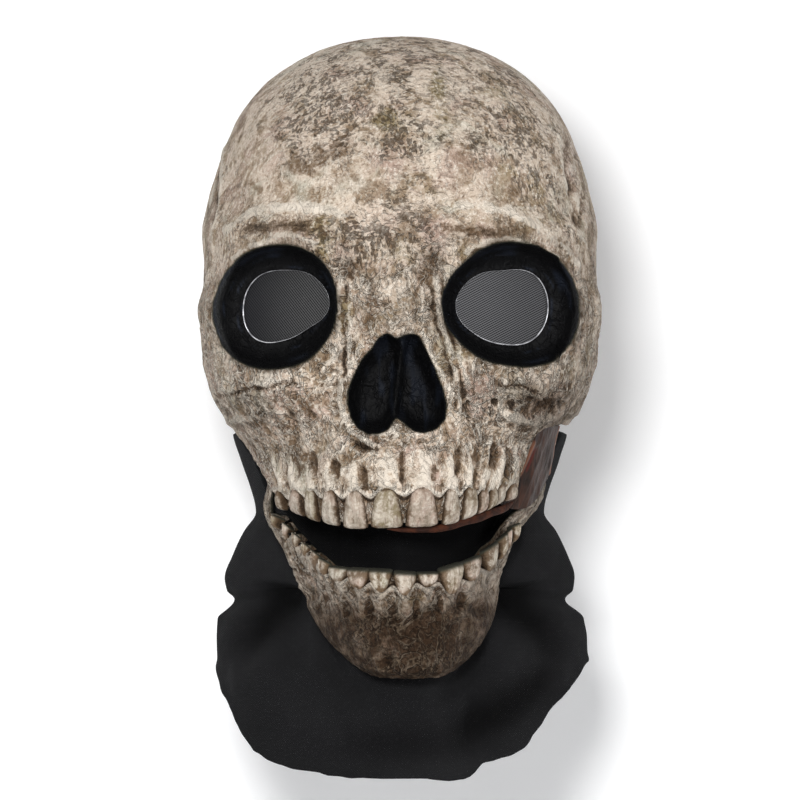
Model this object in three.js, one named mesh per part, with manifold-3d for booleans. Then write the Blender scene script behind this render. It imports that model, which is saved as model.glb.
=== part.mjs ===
// A full-head skull mask of moulded rubber and black stretch cloth, in millimetres, +Z up, its face towards -Y.
// The skull is one thin moulding with its upper teeth, eye sockets and nose recess. The lower jaw, with its
// own teeth, is a second moulding. Rubber webs close the cheeks between them, and fine mesh covers the two
// eye holes. A cloth hood comes out from under the skull's rim, passes behind the mouth and ends in a loose hem.
// The origin is where the wearer's crown meets the inside of the skull. Drops are measured down from its top.
import * as THREE from "three";
import Module from "manifold-3d";

const wasm = await Module();
wasm.setup();

// Driving dimensions of the skull.
const SHELL_WALL = 3;
const SKULL_HALF_WIDTH = 90;
const FACE_REACH = 112; // head axis forward to the brow
const OCCIPUT_REACH = 118; // head axis back to the back of the skull
const GUM_DROP = 209; // to the upper gum's edge
const MOUTH_GAPE = 43.5; // upper gum's edge to the lower one, in the middle
const CHIN_HEIGHT = 43; // lower gum's edge to the chin
const HEM_BELOW_CHIN = 45.5;

// Sockets, eye holes and nose recess.
const SOCKET_HALF_WIDTH = 30;
const SOCKET_HALF_HEIGHT = 30;
const LENS_HALF_WIDTH = 20;
const LENS_HALF_HEIGHT = 16;
const LENS_YAW = 15; // degrees that each eye hole is turned outwards
const LENS_FLANGE = 4.5; // rubber round an eye hole, which the mesh is glued to
const MESH_THICKNESS = 0.8;
const NOSE_HALF_WIDTH = 23.7;
const NOSE_HEIGHT = 45.5;
const NOSE_DEPTH = 22;
const SEPTUM_WIDTH = 4;

// Teeth, walls and gaps.
const UPPER_TOOTH_LENGTH = 17.3;
const LOWER_TOOTH_LENGTH = 10;
const TOOTH_DEPTH = 7;
const JAW_WALL = 3;
const CLOTH_WALL = 1.5;
const WEB_WALL = 1.6;
const SEAT_GAP = 0.4; // between pieces that are glued or tucked together
const HOOD_SLACK = 1.8; // the cloth's least distance from the mouldings round it

// Sizes that follow from the ones above.
const SIDE_DOME_DROP = 0.44 * GUM_DROP;
const FRONT_DOME_DROP = 0.41 * GUM_DROP;
const BACK_DOME_DROP = 0.47 * GUM_DROP;
const DOME_POWER = 2.15;
const RIM_DROP = 0.854 * GUM_DROP; // under the cheekbones and at the nape
const MAXILLA_BACK = 0.52 * FACE_REACH; // head axis forward to the upper jaw bone's back edge
const LENS_REACH = 0.68 * FACE_REACH;
const NOSE_TOP_DROP = 0.651 * GUM_DROP;
const NOSE_SHIFT = -0.018 * SKULL_HALF_WIDTH;
const UPPER_ARCH_HALF_WIDTH = 0.607 * SKULL_HALF_WIDTH;
const LOWER_ARCH_HALF_WIDTH = 0.49 * SKULL_HALF_WIDTH;
const JAW_HALF_WIDTH = 0.733 * SKULL_HALF_WIDTH;
const CHIN_REACH = 0.94 * FACE_REACH;
const CHIN_TUCK = 0.07; // the chin's lower edge draws in by this share of its reach
const CHIN_SHIFT = 0.04 * SKULL_HALF_WIDTH; // the chin hangs a little to one side
const JAW_TOP_DROP = 0.805 * GUM_DROP; // the jaw's upper ends sit inside the cheekbones
const JAW_GUM_DROP = GUM_DROP + MOUTH_GAPE;
const CHIN_DROP = JAW_GUM_DROP + CHIN_HEIGHT;
const JAW_FLARE = 0.215; // the jaw's upper ends spread sideways by this much for each millimetre up
const JAW_TAPER = 0.33; // and its sides lean in by this much for each millimetre down
const JAW_WAIST_DROP = CHIN_DROP - 0.64 * (CHIN_DROP - JAW_TOP_DROP); // from flare to taper
const JAW_END = THREE.MathUtils.degToRad(78); // round the head axis to the jaw's back edges
const HOOD_HALF_WIDTH = 0.889 * SKULL_HALF_WIDTH;
const NECK_BACK = 0.21 * OCCIPUT_REACH; // the neck's axis lies this far behind the head axis
const HOOD_FRONT_REACH = 0.74 * FACE_REACH + NECK_BACK;
const HOOD_BACK_REACH = 0.525 * OCCIPUT_REACH;
const HOOD_SIDE_TOP_DROP = 0.73 * GUM_DROP;
const HOOD_FRONT_TOP_DROP = 0.89 * GUM_DROP;
const CREASE_DROP = 0.877 * CHIN_DROP; // to the bottom of the hood's soft fold
const CROWN = SHELL_WALL; // height of drop 0 above the origin

const BONE = { color: 0xb9a892, roughness: 0.75, metalness: 0 };
const MUSCLE = { color: 0x6b4a3a, roughness: 0.55, metalness: 0 };
const CLOTH = { color: 0x1b1b1c, roughness: 0.9, metalness: 0 };
const GAUZE = { color: 0x4a4a4c, roughness: 0.6, metalness: 0 };

// The skull's level sections: half width, reach forward and back, and how square the face and the back are.
const SKULL_SECTIONS = [
  { drop: 0, width: 1, front: 0.95, back: 1, faceSquare: 2.05, backSquare: 2.1 },
  { drop: 0.39, width: 1, front: 0.965, back: 1, faceSquare: 2.3, backSquare: 2.15 },
  { drop: 0.45, width: 1, front: 0.985, back: 0.995, faceSquare: 2.5, backSquare: 2.15 },
  { drop: 0.54, width: 1.004, front: 0.975, back: 0.98, faceSquare: 3, backSquare: 2.2 },
  { drop: 0.6, width: 1.032, front: 0.945, back: 0.95, faceSquare: 3.2, backSquare: 2.2 },
  { drop: 0.67, width: 1.01, front: 0.935, back: 0.905, faceSquare: 3.1, backSquare: 2.2 },
  { drop: 0.715, width: 1, front: 0.935, back: 0.88, faceSquare: 2.9, backSquare: 2.2 },
  { drop: 0.757, width: 0.961, front: 0.94, back: 0.855, faceSquare: 2.7, backSquare: 2.2 },
  { drop: 0.801, width: 0.925, front: 0.955, back: 0.83, faceSquare: 2.55, backSquare: 2.2 },
  { drop: 0.845, width: 0.87, front: 0.98, back: 0.795, faceSquare: 2.4, backSquare: 2.2 },
  { drop: 0.92, width: 0.77, front: 1.02, back: 0.755, faceSquare: 2.2, backSquare: 2.2 },
  { drop: 1, width: 0.72, front: 1.05, back: 0.72, faceSquare: 2.05, backSquare: 2.2 },
  { drop: 1.1, width: 0.7, front: 1.04, back: 0.7, faceSquare: 2, backSquare: 2.2 },
];

// Swellings and hollows of the face, seen from the front: place and size as shares of the skull's half width
// and of the gum drop, and the rise as a share of the face's reach.
const FACE_RELIEF = [
  { name: "left brow", across: -0.6, drop: 0.43, wide: 0.36, tall: 0.045, rise: 0.04 },
  { name: "right brow", across: 0.54, drop: 0.425, wide: 0.36, tall: 0.045, rise: 0.04 },
  { name: "brow middle", across: -0.02, drop: 0.5, wide: 0.22, tall: 0.06, rise: 0.025 },
  { name: "nose bridge", across: -0.04, drop: 0.62, wide: 0.15, tall: 0.085, rise: 0.1 },
  { name: "left cheekbone", across: -0.7, drop: 0.77, wide: 0.24, tall: 0.065, rise: 0.06 },
  { name: "right cheekbone", across: 0.68, drop: 0.77, wide: 0.24, tall: 0.065, rise: 0.06 },
  { name: "left cheek hollow", across: -0.46, drop: 0.88, wide: 0.14, tall: 0.06, rise: -0.04 },
  { name: "right cheek hollow", across: 0.46, drop: 0.88, wide: 0.14, tall: 0.06, rise: -0.04 },
  { name: "left temple", across: -0.9, drop: 0.3, wide: 0.12, tall: 0.12, rise: -0.02 },
  { name: "right temple", across: 0.9, drop: 0.3, wide: 0.12, tall: 0.12, rise: -0.02 },
];

// Each socket's middle and its eye hole's middle, as shares of the skull's half width and of the gum drop.
const SOCKETS = [
  { side: "left", turn: -1, across: -0.633, drop: 0.593, wide: 0.95, holeAcross: -0.582, holeDrop: 0.595 },
  { side: "right", turn: 1, across: 0.56, drop: 0.584, wide: 1.05, holeAcross: 0.519, holeDrop: 0.598 },
];
// A socket widens from its eye hole to its rim: how far ahead of the hole, and how much of the way to the rim.
const SOCKET_SECTIONS = [
  { ahead: 0, out: 0.12 },
  { ahead: 0.06, out: 0.55 },
  { ahead: 0.18, out: 0.85 },
  { ahead: 0.36, out: 0.97 },
  { ahead: 1, out: 1.03 },
];
const SOCKET_CORNERS = 20;

// The nose recess's outline, one half from the top to the foot, as shares of its half width and height.
const NOSE_OUTLINE = [
  { across: 0.2, down: -0.02 },
  { across: 0.47, down: 0 },
  { across: 0.78, down: 0.33 },
  { across: 1, down: 0.72 },
  { across: 0.86, down: 0.94 },
  { across: 0.5, down: 1 },
  { across: 0.22, down: 0.93 },
];
const NOSE_FOOT = 0.87; // down to the tip of the bone spine that parts the recess's foot

// The teeth of each jaw: middle and width as shares of the arch's half width, tip as a share of the tooth's
// length.
const UPPER_TEETH = [
  { across: -0.98, width: 0.075, tip: 0.52 },
  { across: -0.85, width: 0.117, tip: 0.64 },
  { across: -0.72, width: 0.093, tip: 0.79 },
  { across: -0.573, width: 0.135, tip: 0.9 },
  { across: -0.37, width: 0.2, tip: 1 },
  { across: -0.11, width: 0.27, tip: 0.98 },
  { across: 0.183, width: 0.273, tip: 0.95 },
  { across: 0.42, width: 0.135, tip: 0.87 },
  { across: 0.565, width: 0.117, tip: 0.71 },
  { across: 0.68, width: 0.08, tip: 0.58 },
  { across: 0.775, width: 0.08, tip: 0.45 },
  { across: 0.9, width: 0.12, tip: 0.3 },
];
const LOWER_TEETH = [
  { across: -0.98, width: 0.125, tip: 0.8 },
  { across: -0.816, width: 0.125, tip: 0.75 },
  { across: -0.636, width: 0.145, tip: 0.7 },
  { across: -0.423, width: 0.157, tip: 0.8 },
  { across: -0.21, width: 0.21, tip: 0.85 },
  { across: 0.048, width: 0.24, tip: 0.85 },
  { across: 0.277, width: 0.19, tip: 0.75 },
  { across: 0.523, width: 0.21, tip: 1 },
  { across: 0.727, width: 0.15, tip: 0.85 },
  { across: 0.92, width: 0.16, tip: 0.7 },
];
// A tooth's level sections from its root to its tip.
const TOOTH_SECTIONS = [
  { along: 0, size: 0.75 },
  { along: 0.78, size: 1 },
  { along: 1, size: 0.74 },
];
const TOOTH_CORNERS = 8;
const TOOTH_OVERLAP = 1.08; // neighbours touch
const TOOTH_THINNING = 0.35; // of a tooth's depth, from its root to its tip
const TOOTH_SET_BACK = 0.28; // from the gum's face, as a share of a tooth's depth
const TOOTH_ROOT = 0.3; // how far a tooth reaches into its gum, as a share of its length
const TOOTH_TURN_LIMIT = 0.55; // least cosine of a tooth's turn that widens it

// The jaw's edges, by angle from the middle as a share of the end angle. The upper edge goes as a share of the
// drop from the jaw's top to its gum, and the lower edge as a share of the drop from its top to the chin.
const JAW_EDGES = [
  { round: 0, upper: 1, lower: 1 },
  { round: 0.1, upper: 0.99, lower: 0.997 },
  { round: 0.2, upper: 0.965, lower: 0.965 },
  { round: 0.34, upper: 0.88, lower: 0.9 },
  { round: 0.46, upper: 0.74, lower: 0.82 },
  { round: 0.54, upper: 0.63, lower: 0.72 },
  { round: 0.62, upper: 0.59, lower: 0.59 },
  { round: 0.7, upper: 0.5, lower: 0.52 },
  { round: 0.77, upper: 0.3, lower: 0.48 },
  { round: 0.83, upper: 0.08, lower: 0.46 },
  { round: 0.9, upper: 0.02, lower: 0.42 },
  { round: 1, upper: 0, lower: 0.33 },
];
// How far the front of the jaw is drawn in between its gum and its lower edge, as a share of the chin's tuck.
const JAW_PROFILE = [
  { down: 0, tuck: 0 },
  { down: 0.3, tuck: 0.45 },
  { down: 0.7, tuck: 0 },
  { down: 0.9, tuck: 0.25 },
  { down: 1, tuck: 1 },
];

// The hood's level sections above its crease and below it, as shares of the drop to the crease, and how
// pointed its front is.
const HOOD_SECTIONS = [
  { drop: 0.6, width: 0.97, front: 0.96, back: 1, square: 1.65 },
  { drop: 0.7, width: 0.965, front: 0.98, back: 0.99, square: 1.62 },
  { drop: 0.75, width: 0.92, front: 1, back: 0.95, square: 1.6 },
  { drop: 0.8, width: 0.865, front: 1, back: 0.85, square: 1.52 },
  { drop: 0.846, width: 0.83, front: 1, back: 0.79, square: 1.45 },
  { drop: 0.88, width: 0.9, front: 0.995, back: 0.79, square: 1.36 },
  { drop: 0.925, width: 0.97, front: 0.98, back: 0.83, square: 1.28 },
  { drop: 0.965, width: 1.01, front: 0.96, back: 0.86, square: 1.25 },
  { drop: 0.985, width: 1, front: 0.95, back: 0.86, square: 1.25 },
  { drop: 1, width: 0.96, front: 0.94, back: 0.83, square: 1.25 },
  { drop: 1.035, width: 1.06, front: 0.93, back: 0.9, square: 1.25 },
  { drop: 1.08, width: 1.07, front: 0.935, back: 0.95, square: 1.34 },
  { drop: 1.15, width: 1.06, front: 0.96, back: 0.99, square: 1.6 },
  { drop: 1.33, width: 1.03, front: 1.05, back: 1.02, square: 2.1 },
];
// The hem, by degrees round from the front, as a share of its drop below the chin in front.
const HEM_SHAPE = [
  { turn: -180, below: 0.1 },
  { turn: -90, below: -0.12 },
  { turn: -68, below: 0.24 },
  { turn: -48, below: 0.68 },
  { turn: -26, below: 0.92 },
  { turn: 0, below: 1 },
  { turn: 15, below: 1 },
  { turn: 21, below: 0.84 },
  { turn: 32, below: 0.74 },
  { turn: 46, below: 0.5 },
  { turn: 66, below: 0.14 },
  { turn: 90, below: -0.18 },
  { turn: 180, below: 0.1 },
];
// Soft folds below the crease: how many go round, how deep they are, and where they start.
const HOOD_FOLDS = [
  { count: 5, depth: 1.8, phase: 0.6 },
  { count: 9, depth: 0.8, phase: 2.1 },
];

// The webs, by degrees round the head axis, and down as shares of the gum drop.
const WEB_DEGREES = { front: 39, back: 67 };
const WEB_SHARES = { top: 0.805, front: 0.985, back: 1.035 };

const clamp01 = (t) => Math.min(1, Math.max(0, t));
const smooth = (t) => clamp01(t) ** 2 * (3 - 2 * clamp01(t));
const radians = THREE.MathUtils.degToRad;
const union = (solids) => solids.reduce((all, solid) => all.add(solid));

// A smooth curve through one column of a table, which doesn't overshoot its rows.
function column(rows, along, key) {
  const slope = (i) => (rows[i + 1][key] - rows[i][key]) / (rows[i + 1][along] - rows[i][along]);
  const tangents = rows.map((row, i) => {
    if (i === 0) return slope(0);
    if (i === rows.length - 1) return slope(i - 1);
    const [before, after] = [slope(i - 1), slope(i)];
    return before * after <= 0 ? 0 : (2 * before * after) / (before + after);
  });
  return (at) => {
    let i = 0;
    while (i < rows.length - 2 && at > rows[i + 1][along]) i++;
    const span = rows[i + 1][along] - rows[i][along];
    const t = clamp01((at - rows[i][along]) / span);
    const rise = smooth(t);
    return (
      rows[i][key] * (1 - rise) +
      rows[i + 1][key] * rise +
      t * (1 - t) * span * ((1 - t) * tangents[i] - t * tangents[i + 1])
    );
  };
}

const columns = (rows, along, keys) =>
  Object.fromEntries(keys.map((key) => [key, column(rows, along, key)]));

// Distance from the axis to a rounded oblong, along an angle from straight ahead.
function oblong(angle, halfWidth, reach, square) {
  const side = Math.abs(Math.sin(angle)) / halfWidth;
  const ahead = Math.abs(Math.cos(angle)) / reach;
  return (side ** square + ahead ** square) ** (-1 / square);
}

const ROUNDED = 2.1; // squareness of a slightly squared oval

function solidFrom(vertices, triangles) {
  return new wasm.Manifold(
    new wasm.Mesh({
      numProp: 3,
      vertProperties: new Float32Array(vertices.flatMap((v) => [v.x, v.y, v.z])),
      triVerts: new Uint32Array(triangles.flat()),
    }),
  );
}

// A wall of even thickness inside a surface. surface(u, v) gives its points, u from 0 to 1 round it and v down.
function wallInside(surface, wall, { around, down, closed = false, pole = false }) {
  const across = closed ? around : around + 1;
  const step = 1e-3;
  const inset = (u, v) => {
    const along = surface(u + step, v).sub(surface(u - step, v));
    const below = surface(u, Math.min(1, v + step)).sub(surface(u, Math.max(0, v - step)));
    return along.cross(below).setLength(wall);
  };
  const vertices = [];
  const index = [[], []];
  for (let j = 0; j <= down; j++)
    for (let i = 0; i < across; i++) {
      const atPole = pole && j === 0;
      if (atPole && i > 0) {
        index.forEach((layer) => layer.push(layer[0]));
        continue;
      }
      const outer = surface(i / around, j / down);
      const inner = atPole ? new THREE.Vector3(0, 0, -wall) : inset(i / around, j / down);
      index[0].push(vertices.push(outer) - 1);
      index[1].push(vertices.push(inner.add(outer)) - 1);
    }
  const triangles = [];
  const quad = (a, b, c, d) => triangles.push([a, b, c], [a, c, d]);
  const at = (layer, i, j) => index[layer][j * across + (i % across)];
  for (let j = 0; j < down; j++)
    for (let i = 0; i < around; i++) {
      quad(at(0, i, j), at(0, i, j + 1), at(0, i + 1, j + 1), at(0, i + 1, j));
      quad(at(1, i, j), at(1, i + 1, j), at(1, i + 1, j + 1), at(1, i, j + 1));
    }
  for (let i = 0; i < around; i++) {
    quad(at(0, i, down), at(1, i, down), at(1, i + 1, down), at(0, i + 1, down));
    if (!pole) quad(at(0, i, 0), at(0, i + 1, 0), at(1, i + 1, 0), at(1, i, 0));
  }
  for (let j = 0; j < down && !closed; j++) {
    quad(at(0, 0, j), at(1, 0, j), at(1, 0, j + 1), at(0, 0, j + 1));
    quad(at(0, around, j), at(0, around, j + 1), at(1, around, j + 1), at(1, around, j));
  }
  return solidFrom(vertices, triangles.filter(([a, b, c]) => a !== b && b !== c && a !== c));
}

// A solid through rings of points, all with the same count, with flat ends.
function loft(rings) {
  const vertices = rings.flat();
  const count = rings[0].length;
  const middle = (ring) => ring.reduce((sum, p) => sum.add(p), new THREE.Vector3()).divideScalar(count);
  const start = vertices.push(middle(rings[0])) - 1;
  const end = vertices.push(middle(rings.at(-1))) - 1;
  const triangles = [];
  for (let i = 0; i < count; i++) {
    const next = (i + 1) % count;
    for (let k = 0; k + 1 < rings.length; k++) {
      const [a, b] = [k * count + i, k * count + next];
      triangles.push([a, b, b + count], [a, b + count, a + count]);
    }
    const last = (rings.length - 1) * count;
    triangles.push([start, next, i], [end, last + i, last + next]);
  }
  const made = solidFrom(vertices, triangles);
  return made.volume() > 0 ? made : solidFrom(vertices, triangles.map(([a, b, c]) => [a, c, b]));
}

function block(from, to) {
  const ring = (y) => [
    new THREE.Vector3(from.x, y, from.z),
    new THREE.Vector3(to.x, y, from.z),
    new THREE.Vector3(to.x, y, to.z),
    new THREE.Vector3(from.x, y, to.z),
  ];
  return loft([ring(from.y), ring(to.y)]);
}

function meshOf(name, solid, look) {
  const { numProp, numVert, vertProperties, triVerts } = solid.getMesh();
  const position = new Float32Array(numVert * 3);
  for (let i = 0; i < numVert; i++) position.set(vertProperties.subarray(i * numProp, i * numProp + 3), i * 3);
  const geometry = new THREE.BufferGeometry();
  geometry.setAttribute("position", new THREE.BufferAttribute(position, 3));
  geometry.setIndex(new THREE.BufferAttribute(triVerts, 1));
  geometry.computeVertexNormals();
  const mesh = new THREE.Mesh(geometry, new THREE.MeshStandardMaterial(look));
  mesh.name = name;
  return mesh;
}

const skull = columns(SKULL_SECTIONS, "drop", ["width", "front", "back", "faceSquare", "backSquare"]);
const dome = (drop, full) => (1 - (1 - clamp01(drop / full)) ** DOME_POWER) ** (1 / DOME_POWER);

// The skull's outside, before its sockets and nose are cut.
function skullPoint(angle, drop) {
  const share = drop / GUM_DROP;
  const facing = Math.cos(angle) > 0;
  const halfWidth = SKULL_HALF_WIDTH * skull.width(share) * dome(drop, SIDE_DOME_DROP);
  const reach = facing
    ? FACE_REACH * skull.front(share) * dome(drop, FRONT_DOME_DROP)
    : OCCIPUT_REACH * skull.back(share) * dome(drop, BACK_DOME_DROP);
  const square = facing ? skull.faceSquare(share) : skull.backSquare(share);
  const radius = drop > 0 ? oblong(angle, halfWidth, reach, square) : 0;
  const across = (radius * Math.sin(angle)) / SKULL_HALF_WIDTH;
  const rise = FACE_RELIEF.reduce((sum, spot) => {
    const far = ((across - spot.across) / spot.wide) ** 2 + ((share - spot.drop) / spot.tall) ** 2;
    return sum + spot.rise * Math.exp(-far);
  }, 0);
  const grown = radius + FACE_REACH * rise * smooth(Math.cos(angle) * 2 + 1);
  return new THREE.Vector3(grown * Math.sin(angle), -grown * Math.cos(angle), CROWN - drop);
}

// Columns crowd a little towards the face, and rows towards the crown.
const FACE_CROWDING = 0.35;
const CROWN_CROWDING = 1.35;
const roundFace = (u) => Math.PI * ((1 - FACE_CROWDING) * (2 * u - 1) + FACE_CROWDING * (2 * u - 1) ** 3);
const wrap = (u) => u - Math.floor(u);
const skullSurface = (u, v) => skullPoint(roundFace(wrap(u)), GUM_DROP * v ** CROWN_CROWDING);

const SKULL_GRID = { around: 40, down: 21, closed: true, pole: true };
const CROWN_TIP = 0.02; // the first ring's size at the very top, as a share of the next one's

// The space inside the skull's outer surface.
function skullFilled() {
  const { around, down } = SKULL_GRID;
  const rings = Array.from({ length: down }, (_, j) =>
    Array.from({ length: around }, (_, i) => skullSurface(i / around, (j + 1) / down)),
  );
  const tip = rings[0].map(({ x, y }) => new THREE.Vector3(x * CROWN_TIP, y * CROWN_TIP, CROWN));
  return loft([tip, ...rings]);
}

// Everything behind the upper jaw bone and below the cheekbones and nape.
function belowRim() {
  const far = 2 * (FACE_REACH + OCCIPUT_REACH);
  return block(
    new THREE.Vector3(-far, -MAXILLA_BACK, CROWN - RIM_DROP - far),
    new THREE.Vector3(far, far, CROWN - RIM_DROP),
  );
}

// An oval in the plane of an eye hole, from the hole's own size (out 0) to the socket's rim (out 1).
function socketRing(socket, out, ahead, grow) {
  const turn = radians(LENS_YAW) * socket.turn;
  const mix = (lens, rim) => lens + (rim - lens) * out;
  const middle = new THREE.Vector3(
    SKULL_HALF_WIDTH * mix(socket.holeAcross, socket.across),
    -LENS_REACH - ahead,
    CROWN - GUM_DROP * mix(socket.holeDrop, socket.drop),
  );
  const halfWidth = mix(LENS_HALF_WIDTH, SOCKET_HALF_WIDTH * socket.wide) + grow;
  const halfHeight = mix(LENS_HALF_HEIGHT, SOCKET_HALF_HEIGHT) + grow;
  return Array.from({ length: SOCKET_CORNERS }, (_, i) => {
    const angle = (i / SOCKET_CORNERS) * 2 * Math.PI;
    const x = halfWidth * Math.cos(angle);
    return middle.clone().add(new THREE.Vector3(x, x * Math.tan(turn), halfHeight * Math.sin(angle)));
  });
}

const SOCKET_CUT = 0.45 * FACE_REACH; // from the eye hole to well outside the face

function socketCut(socket) {
  const bowl = SOCKET_SECTIONS.map(({ ahead, out }) => socketRing(socket, out, ahead * SOCKET_CUT, 0));
  return loft([socketRing(socket, 0, -2 * SHELL_WALL, 0), ...bowl]);
}

function socketCup(socket) {
  const [flat, ...bowl] = SOCKET_SECTIONS;
  const floor = [-SHELL_WALL, flat.ahead * SOCKET_CUT - SHELL_WALL / 2];
  return loft([
    ...floor.map((ahead) => socketRing(socket, 0, ahead, LENS_FLANGE)),
    ...bowl.map(({ ahead, out }) => socketRing(socket, out, ahead * SOCKET_CUT, SHELL_WALL)),
  ]);
}

function eyeMesh(socket) {
  const front = -SHELL_WALL - SEAT_GAP;
  return loft([front - MESH_THICKNESS, front].map((ahead) => socketRing(socket, 0, ahead, LENS_FLANGE - 1)));
}

// The nose recess widens from its floor to well outside the face: reach, and size as a share of its outline.
const NOSE_FLOOR = FACE_REACH - NOSE_DEPTH;
const NOSE_SECTIONS = [
  { reach: NOSE_FLOOR, size: 0.7 },
  { reach: FACE_REACH, size: 0.98 },
  { reach: 1.3 * FACE_REACH, size: 1 },
];

function noseRing(reach, share, grow) {
  const half = NOSE_OUTLINE.map(({ across, down }) => [across, down]);
  const whole = [...half, [0, NOSE_FOOT], ...half.toReversed().map(([across, down]) => [-across, down])];
  const middle = 0.5;
  return whole.map(([across, down]) => {
    const x = NOSE_SHIFT + across * (NOSE_HALF_WIDTH * share + grow);
    const drop = middle * NOSE_HEIGHT + (down - middle) * (NOSE_HEIGHT * share + 2 * grow);
    return new THREE.Vector3(x, -reach, CROWN - NOSE_TOP_DROP - drop);
  });
}

// The nose recess, with a thin upright ridge of bone left standing in it.
function noseCut() {
  const hollow = loft(NOSE_SECTIONS.map(({ reach, size }) => noseRing(reach, size, 0)));
  const half = new THREE.Vector3(SEPTUM_WIDTH / 2, 0, NOSE_HEIGHT);
  const ridge = block(
    new THREE.Vector3(NOSE_SHIFT - half.x, -NOSE_FLOOR - NOSE_DEPTH / 2, CROWN - NOSE_TOP_DROP - half.z),
    new THREE.Vector3(NOSE_SHIFT + half.x, -NOSE_FLOOR + NOSE_DEPTH / 2, CROWN - NOSE_TOP_DROP + half.z),
  );
  return hollow.subtract(ridge);
}

function noseCup() {
  const [floor, ...wider] = NOSE_SECTIONS.map(({ reach, size }) => ({ reach, size }));
  floor.reach -= SHELL_WALL;
  return loft([floor, ...wider].map(({ reach, size }) => noseRing(reach, size, SHELL_WALL)));
}

// One tooth on an arch, from a root set in the gum to its tip.
function tooth(at, turn, width, root, tip) {
  const sideways = new THREE.Vector3(Math.cos(turn), Math.sin(turn), 0);
  const forward = new THREE.Vector3(Math.sin(turn), -Math.cos(turn), 0);
  const wide = (width * TOOTH_OVERLAP) / 2 / Math.max(TOOTH_TURN_LIMIT, Math.cos(turn));
  return loft(
    TOOTH_SECTIONS.map(({ along, size }) =>
      Array.from({ length: TOOTH_CORNERS }, (_, i) => {
        const angle = ((i + 0.5) / TOOTH_CORNERS) * 2 * Math.PI;
        const deep = (TOOTH_DEPTH / 2) * (1 - TOOTH_THINNING * along) * size;
        return new THREE.Vector3(at.x, at.y, root + (tip - root) * along)
          .addScaledVector(sideways, wide * size * Math.cos(angle))
          .addScaledVector(forward, deep * Math.sin(angle));
      }),
    ),
  );
}

// The place and turn on an arch where it is this far across.
function onArch(arch, across) {
  let [low, high] = [-Math.PI / 2, Math.PI / 2];
  for (let k = 0; k < 30; k++) {
    const middle = (low + high) / 2;
    if (arch(middle).x < across) low = middle;
    else high = middle;
  }
  const place = arch(low);
  const along = arch(low + 0.01).sub(place);
  return { place, turn: Math.atan2(along.y, along.x) };
}

// Sets a row of teeth a little behind an arch's face. way is -1 for teeth that point down and 1 for up.
function teeth(rows, arch, archHalfWidth, length, way) {
  return rows.map(({ across, width, tip }) => {
    const { place, turn } = onArch(arch, across * archHalfWidth);
    const back = TOOTH_SET_BACK * TOOTH_DEPTH;
    const at = place.clone().add(new THREE.Vector3(-Math.sin(turn) * back, Math.cos(turn) * back, 0));
    const root = place.z - way * TOOTH_ROOT * length;
    return tooth(at, turn, width * archHalfWidth, root, place.z + way * tip * length);
  });
}

function skullShell() {
  const cups = [...SOCKETS.map(socketCup), noseCup()];
  const cuts = [...SOCKETS.map(socketCut), noseCut(), belowRim()];
  const arch = (angle) => skullPoint(angle, GUM_DROP);
  const inside = union(cups).intersect(skullFilled());
  const shell = wallInside(skullSurface, SHELL_WALL, SKULL_GRID).add(inside).subtract(union(cuts));
  return shell.add(union(teeth(UPPER_TEETH, arch, UPPER_ARCH_HALF_WIDTH, UPPER_TOOTH_LENGTH, -1)));
}

const jawEdge = columns(JAW_EDGES, "round", ["upper", "lower"]);
const jawTuck = column(JAW_PROFILE, "down", "tuck");

function jawEdges(angle) {
  const round = Math.abs(angle) / JAW_END;
  return {
    upper: JAW_TOP_DROP + jawEdge.upper(round) * (JAW_GUM_DROP - JAW_TOP_DROP),
    lower: JAW_TOP_DROP + jawEdge.lower(round) * (CHIN_DROP - JAW_TOP_DROP),
  };
}

// A wall that leans takes more room measured level: a little at the gums, and more under a cheekbone or a chin.
const UPRIGHT = 1.16;
const LEAN = 1.4;

// Distance from the head axis to the room inside the skull.
function insideSkull(angle, drop, lean) {
  const { x, y } = skullPoint(angle, drop);
  return Math.hypot(x, y) - lean * SHELL_WALL;
}

// Distance from the head axis to the jaw's outside, before the chin's bulge.
function jawRadius(angle, drop) {
  const above = JAW_WAIST_DROP - drop;
  const halfWidth = JAW_HALF_WIDTH + (above > 0 ? JAW_FLARE : JAW_TAPER) * above;
  const free = oblong(angle, halfWidth, CHIN_REACH, ROUNDED);
  const room = insideSkull(angle, Math.min(drop, RIM_DROP), LEAN) - 2 * SEAT_GAP;
  return drop < RIM_DROP + 3 * SHELL_WALL ? Math.min(free, room) : free;
}

// The chin's bulge, tuck and shift fade out towards the jaw's back edges.
const nearChin = (angle) => 1 - smooth((Math.abs(angle) / JAW_END) * 1.4 - 0.3);

// Distance from the head axis to the room inside the jaw: at its gum, or where its chin is drawn in.
const insideGum = (angle, drop) => jawRadius(angle, drop) - UPRIGHT * JAW_WALL;
function insideChin(angle, drop) {
  const tucked = jawRadius(angle, drop) * (1 - CHIN_TUCK * nearChin(angle));
  return tucked - LEAN * JAW_WALL - CHIN_SHIFT * nearChin(angle);
}

function jawPoint(angle, down) {
  const { upper, lower } = jawEdges(angle);
  const drop = upper + (lower - upper) * down;
  const radius = jawRadius(angle, drop) * (1 - CHIN_TUCK * jawTuck(down) * nearChin(angle));
  const shift = CHIN_SHIFT * nearChin(angle) * smooth((drop - GUM_DROP) / (CHIN_DROP - GUM_DROP));
  return new THREE.Vector3(radius * Math.sin(angle) + shift, -radius * Math.cos(angle), CROWN - drop);
}

const jawSurface = (u, v) => jawPoint(JAW_END * (2 * u - 1), v);

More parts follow.
